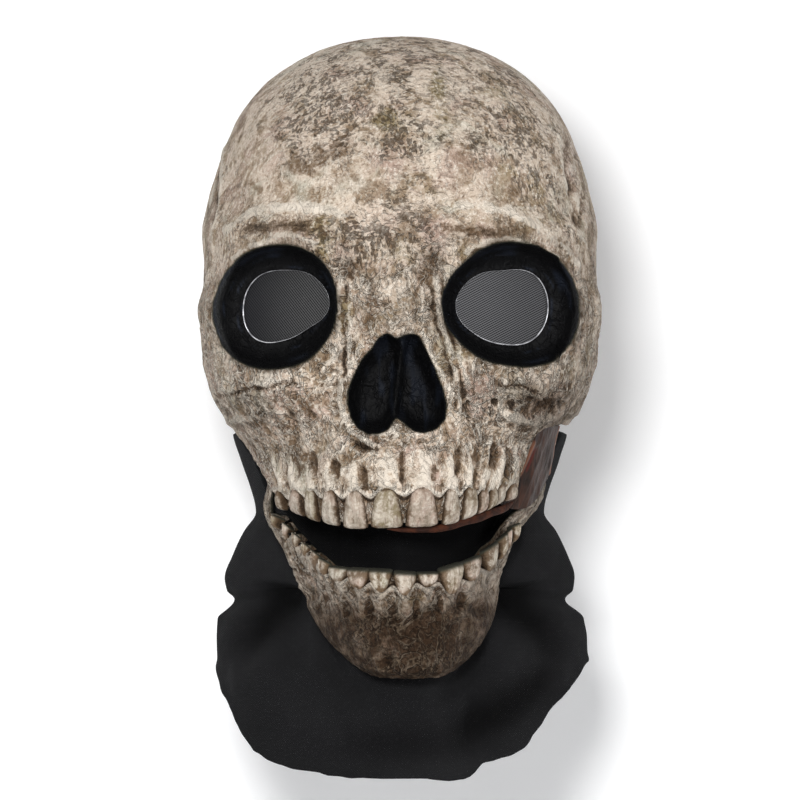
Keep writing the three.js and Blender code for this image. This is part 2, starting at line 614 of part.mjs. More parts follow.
function jawShell() {
  const shell = wallInside(jawSurface, JAW_WALL, { around: 26, down: 6 });
  const arch = (angle) => jawPoint(Math.max(-JAW_END, Math.min(JAW_END, angle)), 0);
  return shell.add(union(teeth(LOWER_TEETH, arch, LOWER_ARCH_HALF_WIDTH, LOWER_TOOTH_LENGTH, 1)));
}

// A web lies just inside both the skull and the jaw, and runs from behind one to behind the other.
function webSurface(side) {
  return (u, v) => {
    const across = side > 0 ? u : 1 - u;
    const angle = side * radians(WEB_DEGREES.front + (WEB_DEGREES.back - WEB_DEGREES.front) * across);
    const bottom = WEB_SHARES.front + (WEB_SHARES.back - WEB_SHARES.front) * smooth(across * 1.5);
    const drop = GUM_DROP * (WEB_SHARES.top + (bottom - WEB_SHARES.top) * v);
    const radius = Math.min(insideSkull(angle, drop, UPRIGHT), insideGum(angle, drop)) - SEAT_GAP;
    return new THREE.Vector3(radius * Math.sin(angle), -radius * Math.cos(angle), CROWN - drop);
  };
}

const cheekWeb = (side) => wallInside(webSurface(side), WEB_WALL, { around: 8, down: 8 });

const hoodShape = columns(HOOD_SECTIONS, "drop", ["width", "front", "back", "square"]);
const hemShape = column(HEM_SHAPE, "turn", "below");

// Where the mouldings stop covering the hood, as shares of the rim's drop, of the jaw's lower edge and of its
// end angle, and how fast that fades.
const SKULL_COVER = { down: 1.035, fade: 0.045 };
const JAW_COVER = { down: 1.06, fade: 0.05, round: 1.08 };
const FOLD_FADE = 0.12; // below the crease, as a share of its drop

// The hood stays inside the skull and the jaw wherever they cover it.
function hoodPoint(angle, drop) {
  const share = drop / CREASE_DROP;
  const facing = Math.cos(angle) > 0;
  const reach = facing ? HOOD_FRONT_REACH * hoodShape.front(share) : HOOD_BACK_REACH * hoodShape.back(share);
  const square = facing ? hoodShape.square(share) : ROUNDED;
  const fold = ({ count, depth, phase }) => depth * Math.sin(count * angle + phase);
  const folds = HOOD_FOLDS.reduce((sum, row) => sum + fold(row), 0);
  const loose = smooth((share - 1) / FOLD_FADE);
  const radius = oblong(angle, HOOD_HALF_WIDTH * hoodShape.width(share), reach, square) + folds * loose;
  const [x, y] = [radius * Math.sin(angle), NECK_BACK - radius * Math.cos(angle)];
  const turn = Math.atan2(x, -y);
  const here = Math.hypot(x, y);
  const skullHere = 1 - smooth((drop / RIM_DROP - SKULL_COVER.down) / SKULL_COVER.fade);
  const { lower } = jawEdges(Math.min(Math.abs(turn), JAW_END));
  const beside = Math.abs(turn) < JAW_COVER.round * JAW_END ? 1 : 0;
  const jawHere = beside * smooth((JAW_COVER.down - drop / lower) / JAW_COVER.fade);
  const past = (room, share) => share * Math.max(0, here - room + HOOD_SLACK);
  const inSkull = past(insideSkull(turn, Math.min(drop, RIM_DROP), LEAN), skullHere);
  const inJaw = past(insideChin(turn, Math.max(drop, JAW_TOP_DROP)), jawHere);
  const kept = 1 - Math.max(inSkull, inJaw) / here;
  return new THREE.Vector3(x * kept, y * kept, CROWN - drop);
}

// Rows of the hood run level to its crease, then down to the hem. Its top edge dips behind the mouth.
const CREASE_ROW = 0.6;
const DIP_DEGREES = { front: 35, back: 75 };
function hoodSurface(u, v) {
  const angle = roundFace(wrap(u));
  const turn = THREE.MathUtils.radToDeg(angle);
  const open = 1 - smooth((Math.abs(turn) - DIP_DEGREES.front) / (DIP_DEGREES.back - DIP_DEGREES.front));
  const top = HOOD_SIDE_TOP_DROP + (HOOD_FRONT_TOP_DROP - HOOD_SIDE_TOP_DROP) * open;
  const hem = CHIN_DROP + HEM_BELOW_CHIN * hemShape(turn);
  const drop = v < CREASE_ROW
    ? top + (CREASE_DROP - top) * (v / CREASE_ROW)
    : CREASE_DROP + (hem - CREASE_DROP) * ((v - CREASE_ROW) / (1 - CREASE_ROW));
  return hoodPoint(angle, drop);
}

const hood = () => wallInside(hoodSurface, CLOTH_WALL, { around: 38, down: 18, closed: true });

const mask = new THREE.Group();
mask.name = "skull_mask";
mask.add(
  meshOf("skull_shell", skullShell(), BONE),
  meshOf("jaw_shell", jawShell(), BONE),
  meshOf("cheek_web_left", cheekWeb(-1), MUSCLE),
  meshOf("cheek_web_right", cheekWeb(1), MUSCLE),
  ...SOCKETS.map((socket) => meshOf(`eye_mesh_${socket.side}`, eyeMesh(socket), GAUZE)),
  meshOf("hood", hood(), CLOTH),
);
export default mask;
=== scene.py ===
"""Looks for the skull mask. Sizes are in millimetres here, and Blender gets metres.

Across is the distance to the viewer's right of the head's middle, and drop is the distance down from its top.
"""

import itertools
import math

import bpy
import numpy as np
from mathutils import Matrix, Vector
from mathutils.kdtree import KDTree


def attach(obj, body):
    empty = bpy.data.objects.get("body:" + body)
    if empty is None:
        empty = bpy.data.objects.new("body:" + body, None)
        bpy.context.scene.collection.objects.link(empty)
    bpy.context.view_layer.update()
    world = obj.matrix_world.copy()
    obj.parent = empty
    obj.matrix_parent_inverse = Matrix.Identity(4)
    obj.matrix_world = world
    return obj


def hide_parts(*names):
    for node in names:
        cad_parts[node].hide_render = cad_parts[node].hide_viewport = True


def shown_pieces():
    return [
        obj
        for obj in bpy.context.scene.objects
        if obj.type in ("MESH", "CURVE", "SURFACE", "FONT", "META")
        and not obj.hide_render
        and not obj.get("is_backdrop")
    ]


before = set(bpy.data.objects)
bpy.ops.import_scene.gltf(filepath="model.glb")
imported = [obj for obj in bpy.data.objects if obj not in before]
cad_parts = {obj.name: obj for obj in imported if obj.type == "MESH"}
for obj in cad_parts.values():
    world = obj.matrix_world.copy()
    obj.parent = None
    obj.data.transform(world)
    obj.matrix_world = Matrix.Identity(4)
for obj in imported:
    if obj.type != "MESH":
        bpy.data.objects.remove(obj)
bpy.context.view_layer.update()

MM = 0.001

# Sizes of the mask, as in its CAD.
SHELL_WALL = 3
SKULL_HALF_WIDTH = 90
FACE_REACH = 112
OCCIPUT_REACH = 118
GUM_DROP = 209
JAW_GUM_DROP = 252.5
CHIN_DROP = 295.5
HEM_BELOW_CHIN = 45.5
SIDE_DOME_DROP = 0.44 * GUM_DROP
FRONT_DOME_DROP = 0.41 * GUM_DROP
BACK_DOME_DROP = 0.47 * GUM_DROP
DOME_POWER = 2.15
RIM_DROP = 0.854 * GUM_DROP
LENS_REACH = 0.68 * FACE_REACH
LENS_YAW = math.radians(15)
LENS_FLANGE = 4.5
NOSE_DEPTH = 22
JAW_WALL = 3
JAW_HALF_WIDTH = 0.733 * SKULL_HALF_WIDTH
CHIN_REACH = 0.94 * FACE_REACH
CHIN_TUCK = 0.07
CHIN_SHIFT = 0.04 * SKULL_HALF_WIDTH
JAW_TOP_DROP = 0.805 * GUM_DROP
JAW_FLARE = 0.215
JAW_TAPER = 0.33
JAW_WAIST_DROP = CHIN_DROP - 0.64 * (CHIN_DROP - JAW_TOP_DROP)
JAW_END = math.radians(78)
LEFT_HELD_DROP = 0.965 * GUM_DROP
HOOD_HALF_WIDTH = 0.889 * SKULL_HALF_WIDTH
NECK_BACK = 0.21 * OCCIPUT_REACH
HOOD_FRONT_REACH = 0.74 * FACE_REACH + NECK_BACK
HOOD_BACK_REACH = 0.525 * OCCIPUT_REACH
HOOD_SIDE_TOP_DROP = 0.73 * GUM_DROP
HOOD_FRONT_TOP_DROP = 0.89 * GUM_DROP
CREASE_DROP = 0.877 * CHIN_DROP
CLOTH_WALL = 1.5
HOOD_SLACK = 1.8
SEAT_GAP = 0.4
CROWN = SHELL_WALL
UPRIGHT = 1.16
LEAN = 1.4
ROUNDED = 2.1


def rows(names, *values):
    """A table's rows as dicts, from its column names and its rows' values."""
    return [dict(zip(names.split(), row)) for row in values]


SKULL_SECTIONS = rows(
    "drop width front back face_square back_square",
    (0, 1, 0.95, 1, 2.05, 2.1),
    (0.39, 1, 0.965, 1, 2.3, 2.15),
    (0.45, 1, 0.985, 0.995, 2.5, 2.15),
    (0.54, 1.004, 0.975, 0.98, 3, 2.2),
    (0.6, 1.032, 0.945, 0.95, 3.2, 2.2),
    (0.67, 1.01, 0.935, 0.905, 3.1, 2.2),
    (0.715, 1, 0.935, 0.88, 2.9, 2.2),
    (0.757, 0.961, 0.94, 0.855, 2.7, 2.2),
    (0.801, 0.925, 0.955, 0.83, 2.55, 2.2),
    (0.845, 0.87, 0.98, 0.795, 2.4, 2.2),
    (0.92, 0.77, 1.02, 0.755, 2.2, 2.2),
    (1, 0.72, 1.05, 0.72, 2.05, 2.2),
    (1.1, 0.7, 1.04, 0.7, 2, 2.2),
)

FACE_RELIEF = rows(
    "across drop wide tall rise",
    (-0.6, 0.43, 0.36, 0.045, 0.04),
    (0.54, 0.425, 0.36, 0.045, 0.04),
    (-0.02, 0.5, 0.22, 0.06, 0.025),
    (-0.04, 0.62, 0.15, 0.085, 0.1),
    (-0.7, 0.77, 0.24, 0.065, 0.06),
    (0.68, 0.77, 0.24, 0.065, 0.06),
    (-0.46, 0.88, 0.14, 0.06, -0.04),
    (0.46, 0.88, 0.14, 0.06, -0.04),
    (-0.9, 0.3, 0.12, 0.12, -0.02),
    (0.9, 0.3, 0.12, 0.12, -0.02),
)

# The skull's lower edge, by degrees round from the front.
SKULL_EDGE = rows(
    "turn drop",
    (-180, 178.5),
    (-98, 178.5),
    (-88, 181),
    (-76, 188),
    (-68, 194),
    (-60, 199),
    (-54, 204),
    (-48, 208.5),
    (-43, 212),
    (-38, 213),
    (33, 213),
    (36, 210),
    (38, 203),
    (40, 193),
    (42, 184),
    (45, 180),
    (52, 178.8),
    (180, 178.5),
)

# The eye holes' and the sockets' outlines: middles, and reach towards eight directions, from +X upwards.
SOCKETS = (
    {
        "side": "left",
        "turn": -1,
        "hole": (-52.2, 124.3),
        "hole_reach": (20, 18.7, 16.6, 18.7, 19.8, 20.9, 15.8, 14.7),
        "rim": (-57, 124.8),
        "rim_reach": (28.3, 29.8, 28.5, 27.6, 28.5, 30.3, 28.5, 28.3),
    },
    {
        "side": "right",
        "turn": 1,
        "hole": (46.9, 125.1),
        "hole_reach": (21.2, 21.2, 17.2, 19.5, 21.6, 17.6, 17, 20.5),
        "rim": (50.6, 123.3),
        "rim_reach": (31.4, 29.6, 28.3, 28.3, 31.7, 28.8, 28.5, 33.2),
    },
)
# How far ahead of its eye hole a socket's wall lies, by how far out it is from the hole (0) to the rim (1).
SOCKET_WALL = rows(
    "out ahead",
    (-1, 0),
    (0.12, 0),
    (0.3, 0.8),
    (0.55, 3.2),
    (0.75, 6.5),
    (0.86, 10),
    (0.94, 15),
    (1, 27),
    (1.12, 60),
    (1.3, 140),
)

# The nose recess: its outline, and how far ahead of its floor its wall lies, by the distance inside.
NOSE_OUTLINE = rows(
    "across drop",
    (-1.5, 138.6),
    (-6, 136.6),
    (-9.5, 138.6),
    (-13, 143.5),
    (-18.4, 149.5),
    (-21.6, 156),
    (-24.2, 163.5),
    (-24.6, 169.5),
    (-23, 176),
    (-19.6, 181),
    (-14.5, 183.6),
    (-9, 183.3),
    (-5, 180.6),
    (-1.6, 176.5),
    (1.6, 178.4),
    (6.6, 182),
    (11.3, 182.4),
    (17, 180.3),
    (20.8, 176.3),
    (21.8, 169),
    (19.8, 161.5),
    (16.2, 153.5),
    (12.4, 145),
    (8.6, 137.3),
    (4.5, 136.4),
)
NOSE_WALL = rows(
    "inside ahead",
    (-3, 70),
    (-0.6, 34),
    (0, 24),
    (1.2, 14),
    (2.6, 8),
    (4.5, 3.5),
    (7, 1),
    (12, 0),
)

# Fine carving of the face, seen from the front: ridges rise and grooves sink, each along a short line.
CARVING = rows(
    "rise wide line",
    (-1.3, 0.8, ((-84, 165.3), (-77.5, 165.2), (-71, 162.3), (-64.5, 162.8), (-58, 161), (-49, 160.3))),
    (0.7, 1, ((-83, 163), (-76, 163), (-70, 160.3), (-64, 160.8), (-56, 158.8))),
    (-1.7, 2.1, ((-50.6, 163.8), (-45, 169), (-40.5, 175.5))),
    (-1.1, 1.4, ((-55, 170), (-50, 175), (-47, 183))),
    (-1.1, 0.8, ((44, 158.6), (50, 161.5), (56, 160.6), (62, 163.5), (68, 168.5))),
    (0.8, 0.8, ((46, 161.6), (51, 164), (57, 163.2), (64, 167), (72, 172.6))),
    (-1, 1.8, ((59, 167), (65, 170), (70, 174))),
    (1.3, 2.1, ((-79, 90), (-74, 85), (-66, 81), (-56, 79.6), (-44.6, 79.4), (-33, 80.6), (-25, 84))),
    (-0.9, 3, ((-67, 89), (-54, 86), (-44, 87), (-35, 90.5), (-27, 95))),
    (1.1, 1.5, ((-76, 103), (-70, 97.6), (-62, 94.2), (-54, 92.4), (-46, 92.6), (-39, 96.5))),
    (1.3, 2.1, ((27, 79), (36, 78.6), (47, 80.4), (57, 85), (67, 92.6), (76, 100), (82, 106))),
    (-0.8, 3, ((20, 88.5), (30, 89.8), (40, 91.2), (50, 93.2))),
    (1.3, 1.6, ((30, 99), (38, 95.8), (47, 93.2), (53, 95.4), (62, 98), (71, 104))),
    (1, 1.5, ((-27.5, 112), (-28.3, 124), (-27.6, 138), (-30, 148), (-36, 154))),
    (1, 1.5, ((17, 112), (18, 128), (21.5, 141), (27, 149))),
    (-1.1, 0.9, ((-24, 116), (-25.4, 132), (-24.6, 148), (-25.8, 160))),
    (-0.9, 0.8, ((-19.6, 124), (-21.2, 137), (-20.6, 147))),
    (0.8, 1, ((-22.2, 116), (-23.3, 132), (-22.4, 146), (-24.3, 153))),
    (2.3, 1.0, ((-26.4, 158), (-27.4, 166), (-26.4, 174), (-23.4, 181), (-18, 185.4), (-12.6, 188.6))),
    (-1.5, 1.1, ((-21.5, 185.6), (-17, 188.6), (-11, 190.2))),
    (1.6, 1.0, ((-12, 184.6), (-6, 183.4), (-2.5, 180.6))),
    (1.2, 1.1, ((-15.5, 140.5), (-20.5, 147.5), (-24.8, 157))),
    (-1.1, 0.9, ((13.4, 116), (16.8, 130), (21.3, 146), (24.7, 161), (25.6, 172))),
    (-0.9, 0.8, ((18.4, 112), (21.4, 128), (25.3, 146), (28.4, 162), (28, 176))),
    (0.9, 0.9, ((15.8, 114), (19.2, 130), (23.4, 147), (26.6, 162), (27, 174))),
    (0.8, 0.9, ((21, 114), (24.2, 132), (28.4, 150), (31.5, 166))),
    (1.2, 1.1, ((10.8, 137.5), (14.6, 146), (19.2, 156), (22.8, 165), (23.6, 174))),
    (-1.2, 2.2, ((31, 162), (30.5, 172), (31.5, 184))),
    (2.2, 2.2, ((48, 174), (55, 176), (63, 176.6), (74, 174.5), (80, 172))),
    (-1.2, 3, ((52, 170), (62, 171), (72, 168))),
    (1.5, 2, ((-83, 178), (-76, 176.6), (-68, 174.8))),
    (1.2, 0.9, ((73, 45.4), (74.5, 55), (75.8, 68.4), (78.4, 80.2), (82.3, 91.4), (86, 98))),
    (-2.3, 2.1, ((76.2, 48), (77.2, 60), (78.3, 75), (81.5, 87))),
    (-1.6, 0.8, ((79.7, 47), (81.2, 55))),
    (-1.8, 0.9, ((85.4, 61), (86, 69), (84.4, 78), (84, 88), (86.3, 97), (90.5, 104))),
    (1.5, 0.9, ((-80.5, 52), (-82.3, 71), (-84.4, 82.3), (-86, 96), (-87.4, 112), (-87.6, 130))),
    (-1.2, 0.8, ((-84.6, 60), (-86, 78), (-87.4, 92))),
    (-1.8, 2, ((-83.5, 56), (-86, 70), (-88.3, 84))),
    (-1.4, 2.4, ((-90.5, 117), (-91, 132))),
    (0.9, 0.7, ((-93.5, 136), (-86.7, 132.3))),
    (0.9, 0.8, ((90.2, 119), (90, 131), (89.7, 143))),
    (-1.2, 1.2, ((92.5, 121), (92.3, 141))),
    (-0.5, 4, ((-46, 56), (-30, 50), (-12, 38))),
    (-0.5, 4, ((24, 22), (31, 44), (37, 58))),
)
# Round pits and holes of the face and the chin.
PITS = rows(
    "across drop wide deep",
    (43.5, 168.4, 1.5, 2.2),
    (-12.9, 194.1, 0.9, 0.8),
    (-8.3, 193.7, 0.8, 0.7),
    (-10.8, 196.1, 0.8, 0.8),
    (-5.2, 198.3, 0.8, 0.8),
    (-9.2, 199.2, 0.7, 0.7),
    (-4.6, 201.8, 0.9, 0.9),
    (-9, 203.1, 0.7, 0.7),
    (-23.5, 200.1, 1, 0.9),
    (-36.1, 201.8, 0.7, 0.6),
    (-41.4, 256.5, 3.2, 1.6),
    (35, 263, 3, 1.6),
    (-6, 286.5, 2.6, 1.8),
)

# Hollows between the roots of the teeth: middle, half sizes, lean in degrees and depth.
HOLLOWS = rows(
    "across drop wide tall lean deep",
    (-47, 199, 1.6, 6, -8, 0.8),
    (-39.8, 198, 1.8, 7, 0, 0.9),
    (-29.9, 201, 2.5, 6.6, 4, 1.2),
    (-17.2, 202.6, 2.7, 6, -6, 1.2),
    (-17.4, 189, 4, 2, 20, 0.9),
    (0.6, 198, 1.6, 7.5, 0, 0.8),
    (15.4, 201, 1.7, 4.6, 0, 0.8),
    (26, 195.6, 2, 7, 8, 1.1),
    (34.5, 196, 1.8, 8, 5, 1),
    (42.5, 195, 1.8, 8, 5, 0.9),
    (49, 196, 2, 8, 0, 0.7),
    (-24, 262, 1.6, 4.5, -6, 0.9),
    (-13.5, 263, 1.7, 5, 0, 0.9),
    (-3, 265, 1.7, 5, 0, 0.9),
    (7.5, 263.5, 1.6, 5, 0, 0.9),
    (17.5, 261.5, 1.6, 5, 6, 0.9),
    (27.5, 259, 1.7, 5, 10, 0.9),
)

# The teeth: middle, width, the drop of the gum over it, and the drop of its tip.
UPPER_TEETH = rows(
    "across width gum tip",
    (-53.6, 4, 209.6, 217.8),
    (-46.5, 6.6, 208.6, 219.8),
    (-39.6, 5.2, 208.4, 222.4),
    (-31.3, 7.5, 208.4, 224.4),
    (-20.2, 11, 208.8, 226.2),
    (-6, 14.6, 207.6, 225.8),
    (9.9, 14.8, 207.2, 225.3),
    (22.9, 7.4, 208, 224),
    (31.4, 6.4, 207, 221.2),
    (37.2, 4, 208, 218.9),
    (41.2, 3.8, 208, 217.3),
    (44.8, 4.4, 206.4, 215.3),
    (50, 6.2, 206.2, 213.4),
)
LOWER_TEETH = rows(
    "across width gum tip",
    (-55, 2.4, 225, 221),
    (-50.4, 2.6, 229.6, 225.4),
    (-45.8, 2.8, 234, 230),
    (-41.4, 2.9, 238.4, 234.4),
    (-37, 3.2, 243, 238),
    (-33, 4.4, 247, 241),
    (-27, 8.2, 250, 243.3),
    (-18.1, 9.6, 253.6, 243.8),
    (-8.6, 10, 255.2, 244.2),
    (2.3, 10.1, 256.6, 245.2),
    (12.3, 9.3, 252.8, 245.6),
    (22.6, 10, 255.8, 242.4),
    (31.5, 7.2, 250, 239.6),
    (39.6, 7.4, 245, 234.6),
    (45.2, 3.4, 239, 230.6),
    (48.6, 3, 235, 227.4),
    (51.6, 2.6, 231, 224.6),
)
TOOTH_DEPTH = 7
TOOTH_SQUARE = 2.7
# How far the gum reaches down between two teeth.
UPPER_PAPILLA = 4.4
LOWER_PAPILLA = 4

JAW_EDGES = rows(
    "round upper lower",
    (0, 1, 1),
    (0.1, 0.99, 0.997),
    (0.2, 0.965, 0.965),
    (0.34, 0.88, 0.9),
    (0.46, 0.74, 0.82),
    (0.54, 0.63, 0.72),
    (0.62, 0.59, 0.59),
    (0.7, 0.5, 0.52),
    (0.77, 0.3, 0.48),
    (0.83, 0.08, 0.46),
    (0.9, 0.02, 0.42),
    (1, 0, 0.33),
)
JAW_PROFILE = rows("down tuck", (0, 0), (0.3, 0.45), (0.7, 0), (0.9, 0.25), (1, 1))

HOOD_SECTIONS = rows(
    "drop width front back square",
    (0.6, 0.97, 0.96, 1, 1.65),
    (0.7, 0.965, 0.98, 0.99, 1.62),
    (0.75, 0.92, 1, 0.95, 1.6),
    (0.8, 0.865, 1, 0.85, 1.52),
    (0.846, 0.83, 1, 0.79, 1.45),
    (0.88, 0.9, 0.995, 0.79, 1.36),
    (0.925, 0.97, 0.98, 0.83, 1.28),
    (0.965, 1.01, 0.96, 0.86, 1.25),
    (0.985, 1, 0.95, 0.86, 1.25),
    (1, 0.96, 0.94, 0.83, 1.25),
    (1.035, 1.06, 0.93, 0.9, 1.25),
    (1.08, 1.07, 0.935, 0.95, 1.34),
    (1.15, 1.06, 0.96, 0.99, 1.6),
    (1.33, 1.03, 1.05, 1.02, 2.1),
)
HEM_SHAPE = rows(
    "turn below",
    (-180, 0.1),
    (-90, -0.12),
    (-68, 0.24),
    (-48, 0.68),
    (-26, 0.92),
    (0, 1),
    (15, 1),
    (21, 0.84),
    (32, 0.74),
    (46, 0.5),
    (66, 0.14),
    (90, -0.18),
    (180, 0.1),
)
# The share of the hood's rows of points that lie above its crease.
CREASE_SHARE = 0.6
HOOD_FOLDS = rows("count depth phase", (5, 1.8, 0.6), (9, 0.8, 2.1))
WEB_DEGREES = {"front": 39, "back": 67}
WEB_SHARES = {"top": 0.805, "front": 0.985, "back": 1.035}

# Curves and noise.
LATTICE = np.random.default_rng(11).uniform(-1, 1, (64, 64, 64))


def clamp(t):
    """A value kept between 0 and 1."""
    return np.clip(t, 0.0, 1.0)


def smooth(t):
    """A smooth step from 0 to 1 as t goes from 0 to 1."""
    t = clamp(t)
    return t * t * (3 - 2 * t)


def column(table, along, key):
    """A smooth curve through one column of a table, which doesn't overshoot its rows."""
    x = np.array([row[along] for row in table], float)
    y = np.array([row[key] for row in table], float)
    slopes = np.diff(y) / np.diff(x)
    tangents = np.zeros_like(y)
    tangents[0], tangents[-1] = slopes[0], slopes[-1]
    product = slopes[:-1] * slopes[1:]
    total = np.where(product > 0, slopes[:-1] + slopes[1:], 1)
    tangents[1:-1] = np.where(product > 0, 2 * product / total, 0)

    def at(value):
        value = np.asarray(value, float)
        i = np.clip(np.searchsorted(x, value, side="right") - 1, 0, len(x) - 2)
        span = x[i + 1] - x[i]
        t = clamp((value - x[i]) / span)
        rise = smooth(t)
        bend = t * (1 - t) * span * ((1 - t) * tangents[i] - t * tangents[i + 1])
        return y[i] * (1 - rise) + y[i + 1] * rise + bend

    return at


def columns(table, along, *keys):
    """Smooth curves through several columns of a table, by name."""
    return {key: column(table, along, key) for key in keys}


def noise(x, y, z, size):
    """Smooth noise from -1 to 1 with features about size across."""
    whole = [np.floor(c / size).astype(int) for c in (x, y, z)]
    part = [smooth(c / size - i) for c, i in zip((x, y, z), whole)]
    total = 0
    for corner in itertools.product((0, 1), repeat=3):
        i, j, k = [(w + c) % 64 for w, c in zip(whole, corner)]
        a, b, c = [p if side else 1 - p for p, side in zip(part, corner)]
        total = total + a * b * c * LATTICE[i, j, k]
    return total


def rough(x, y, z, size, octaves=3):
    """Noise with finer noise on it."""
    return sum(noise(x + 31 * k, y, z, size / 2**k) / 2**k for k in range(octaves))


def oblong(angle, half_width, reach, square):
    """Radius of a rounded box shape, squarer as square rises above 2."""
    side = np.abs(np.sin(angle)) / half_width
    ahead = np.abs(np.cos(angle)) / reach
    return (side**square + ahead**square) ** (-1 / square)


def line_distance(x, d, line):
    """Distance from each point to a line of straight steps, seen from the front."""
    best = np.full(np.shape(x), 1e9)
    for (x0, d0), (x1, d1) in zip(line, line[1:]):
        length = (x1 - x0) ** 2 + (d1 - d0) ** 2
        t = clamp(((x - x0) * (x1 - x0) + (d - d0) * (d1 - d0)) / length)
        best = np.minimum(best, np.hypot(x - x0 - t * (x1 - x0), d - d0 - t * (d1 - d0)))
    return best


def inside_outline(x, d, outline):
    """Distance inside a closed outline, below 0 outside it."""
    points = [(row["across"], row["drop"]) for row in outline]
    closed = points + points[:1]
    inside = np.zeros(np.shape(x), bool)
    for (x0, d0), (x1, d1) in zip(closed, closed[1:]):
        crosses = (d0 > d) != (d1 > d)
        at = x0 + (d - d0) * (x1 - x0) / (d1 - d0 if d1 != d0 else 1e-9)
        inside ^= crosses & (x < at)
    return np.where(inside, 1, -1) * line_distance(x, d, closed)


def reach_towards(angle, reaches):
    """The reach of a rounded outline, from its reaches towards eight evenly spaced directions."""
    at = (angle / (2 * np.pi) * 8) % 8
    i = np.floor(at).astype(int)
    t = at - i
    r = np.array(reaches)
    p0, p1, p2, p3 = [r[(i + k) % 8] for k in (-1, 0, 1, 2)]
    return p1 + 0.5 * t * (p2 - p0 + t * (2 * p0 - 5 * p1 + 4 * p2 - p3 + t * (3 * (p1 - p2) + p3 - p0)))


# The skull's surface.
skull = columns(SKULL_SECTIONS, "drop", "width", "front", "back", "face_square", "back_square")
skull_edge = column(SKULL_EDGE, "turn", "drop")
socket_wall = column(SOCKET_WALL, "out", "ahead")
nose_wall = column(NOSE_WALL, "inside", "ahead")


def dome(drop, full):
    """Share of the full width that the head has this far down from its top."""
    return (1 - (1 - clamp(drop / full)) ** DOME_POWER) ** (1 / DOME_POWER)


def skull_radius(angle, drop):
    """Distance from the head axis to the skull's plain surface."""
    share = drop / GUM_DROP
    facing = np.cos(angle) > 0
    half_width = SKULL_HALF_WIDTH * skull["width"](share) * dome(drop, SIDE_DOME_DROP)
    ahead = FACE_REACH * skull["front"](share) * dome(drop, FRONT_DOME_DROP)
    behind = OCCIPUT_REACH * skull["back"](share) * dome(drop, BACK_DOME_DROP)
    square = np.where(facing, skull["face_square"](share), skull["back_square"](share))
    radius = oblong(angle, half_width, np.where(facing, ahead, behind), square)
    across = radius * np.sin(angle) / SKULL_HALF_WIDTH
    rise = 0
    for spot in FACE_RELIEF:
        far = ((across - spot["across"]) / spot["wide"]) ** 2 + ((share - spot["drop"]) / spot["tall"]) ** 2
        rise = rise + spot["rise"] * np.exp(-far)
    return radius + FACE_REACH * rise * smooth(np.cos(angle) * 2 + 1)


def socket_out(socket, x, d):
    """How far out a point is from a socket's eye hole (0) to its rim (1), seen from the front."""
    (hx, hd), (rx, rd) = socket["hole"], socket["rim"]
    out = np.ones(np.shape(x))
    for _ in range(8):
        mix = clamp(out)
        cx, cd = hx + (rx - hx) * mix, hd + (rd - hd) * mix
        angle = np.arctan2(cd - d, x - cx)
        hole = reach_towards(angle, socket["hole_reach"])
        rim = reach_towards(angle, socket["rim_reach"])
        out = (np.hypot(x - cx, d - cd) - hole) / (rim - hole)
    return out


def deeper(a, b, soft):
    """The larger of two depths, with a rounded edge between them."""
    gap = np.maximum(soft - np.abs(a - b), 0) / soft
    return np.maximum(a, b) + gap * gap * soft / 4


def carving(x, d):
    """Rise of the fine carving at points seen from the front."""
    total = np.zeros(np.shape(x))
    wavered_x = x + 1.1 * rough(x, d, 0 * x, 7, 2)
    wavered_d = d + 1.1 * rough(x + 60, d, 0 * x, 7, 2)
    broken = 0.9 + 0.7 * noise(x, d, 0 * x, 5)
    for row in CARVING:
        far = line_distance(wavered_x, wavered_d, row["line"]) / row["wide"]
        total += row["rise"] * np.exp(-far * far) * broken
    for pit in PITS:
        far = np.hypot(x - pit["across"], d - pit["drop"]) / pit["wide"]
        total += -pit["deep"] * np.exp(-far * far) + 0.3 * pit["deep"] * np.exp(-((far - 1.7) ** 2) * 4)
    return total


def gum_relief(x, d, teeth, way):
    """Root ridges of a row of teeth. way is -1 above the upper teeth and 1 below the lower."""
    total = np.zeros(np.shape(x))
    for k, row in enumerate(teeth):
        away = (d - row["gum"]) * way
        long = 17 + 5 * math.sin(5.3 * k + 1)
        lean = row["across"] * (1 + 0.0035 * np.maximum(away, 0) * (1 if way < 0 else -2))
        wobble = 0.7 * np.sin(0.35 * away + 2 * k)
        far = (x - lean - wobble) / (0.36 * row["width"])
        fade = smooth(away / 4 + 0.6) * smooth((long - away) / 8)
        total += 1.5 * np.exp(-far * far) * fade
    return total


def root_hollows(x, d):
    """The hollows between the roots, from 0 to 1 inside them, and how deep they are."""
    inside, depth = np.zeros(np.shape(x)), np.zeros(np.shape(x))
    for row in HOLLOWS:
        lean = math.radians(row["lean"])
        a = (x - row["across"]) * math.cos(lean) + (d - row["drop"]) * math.sin(lean)
        b = (d - row["drop"]) * math.cos(lean) - (x - row["across"]) * math.sin(lean)
        far = np.hypot(a / row["wide"], b / row["tall"]) + 0.12 * noise(x, d, 0 * x, 2.5)
        here = smooth((1.25 - far) / 0.5)
        inside = np.maximum(inside, here)
        depth = np.maximum(depth, here * row["deep"])
    return inside, depth


def root_band(x, d, teeth, way):
    """Where the roots of a row of teeth show, from 0 to 1."""
    line = column(teeth, "across", "gum")(x)
    away = (d - line) * way
    ends = smooth((x - teeth[0]["across"] + 3) / 8) * smooth((teeth[-1]["across"] + 3 - x) / 8)
    return ends * smooth(away / 3) * smooth((19 - away) / 9)


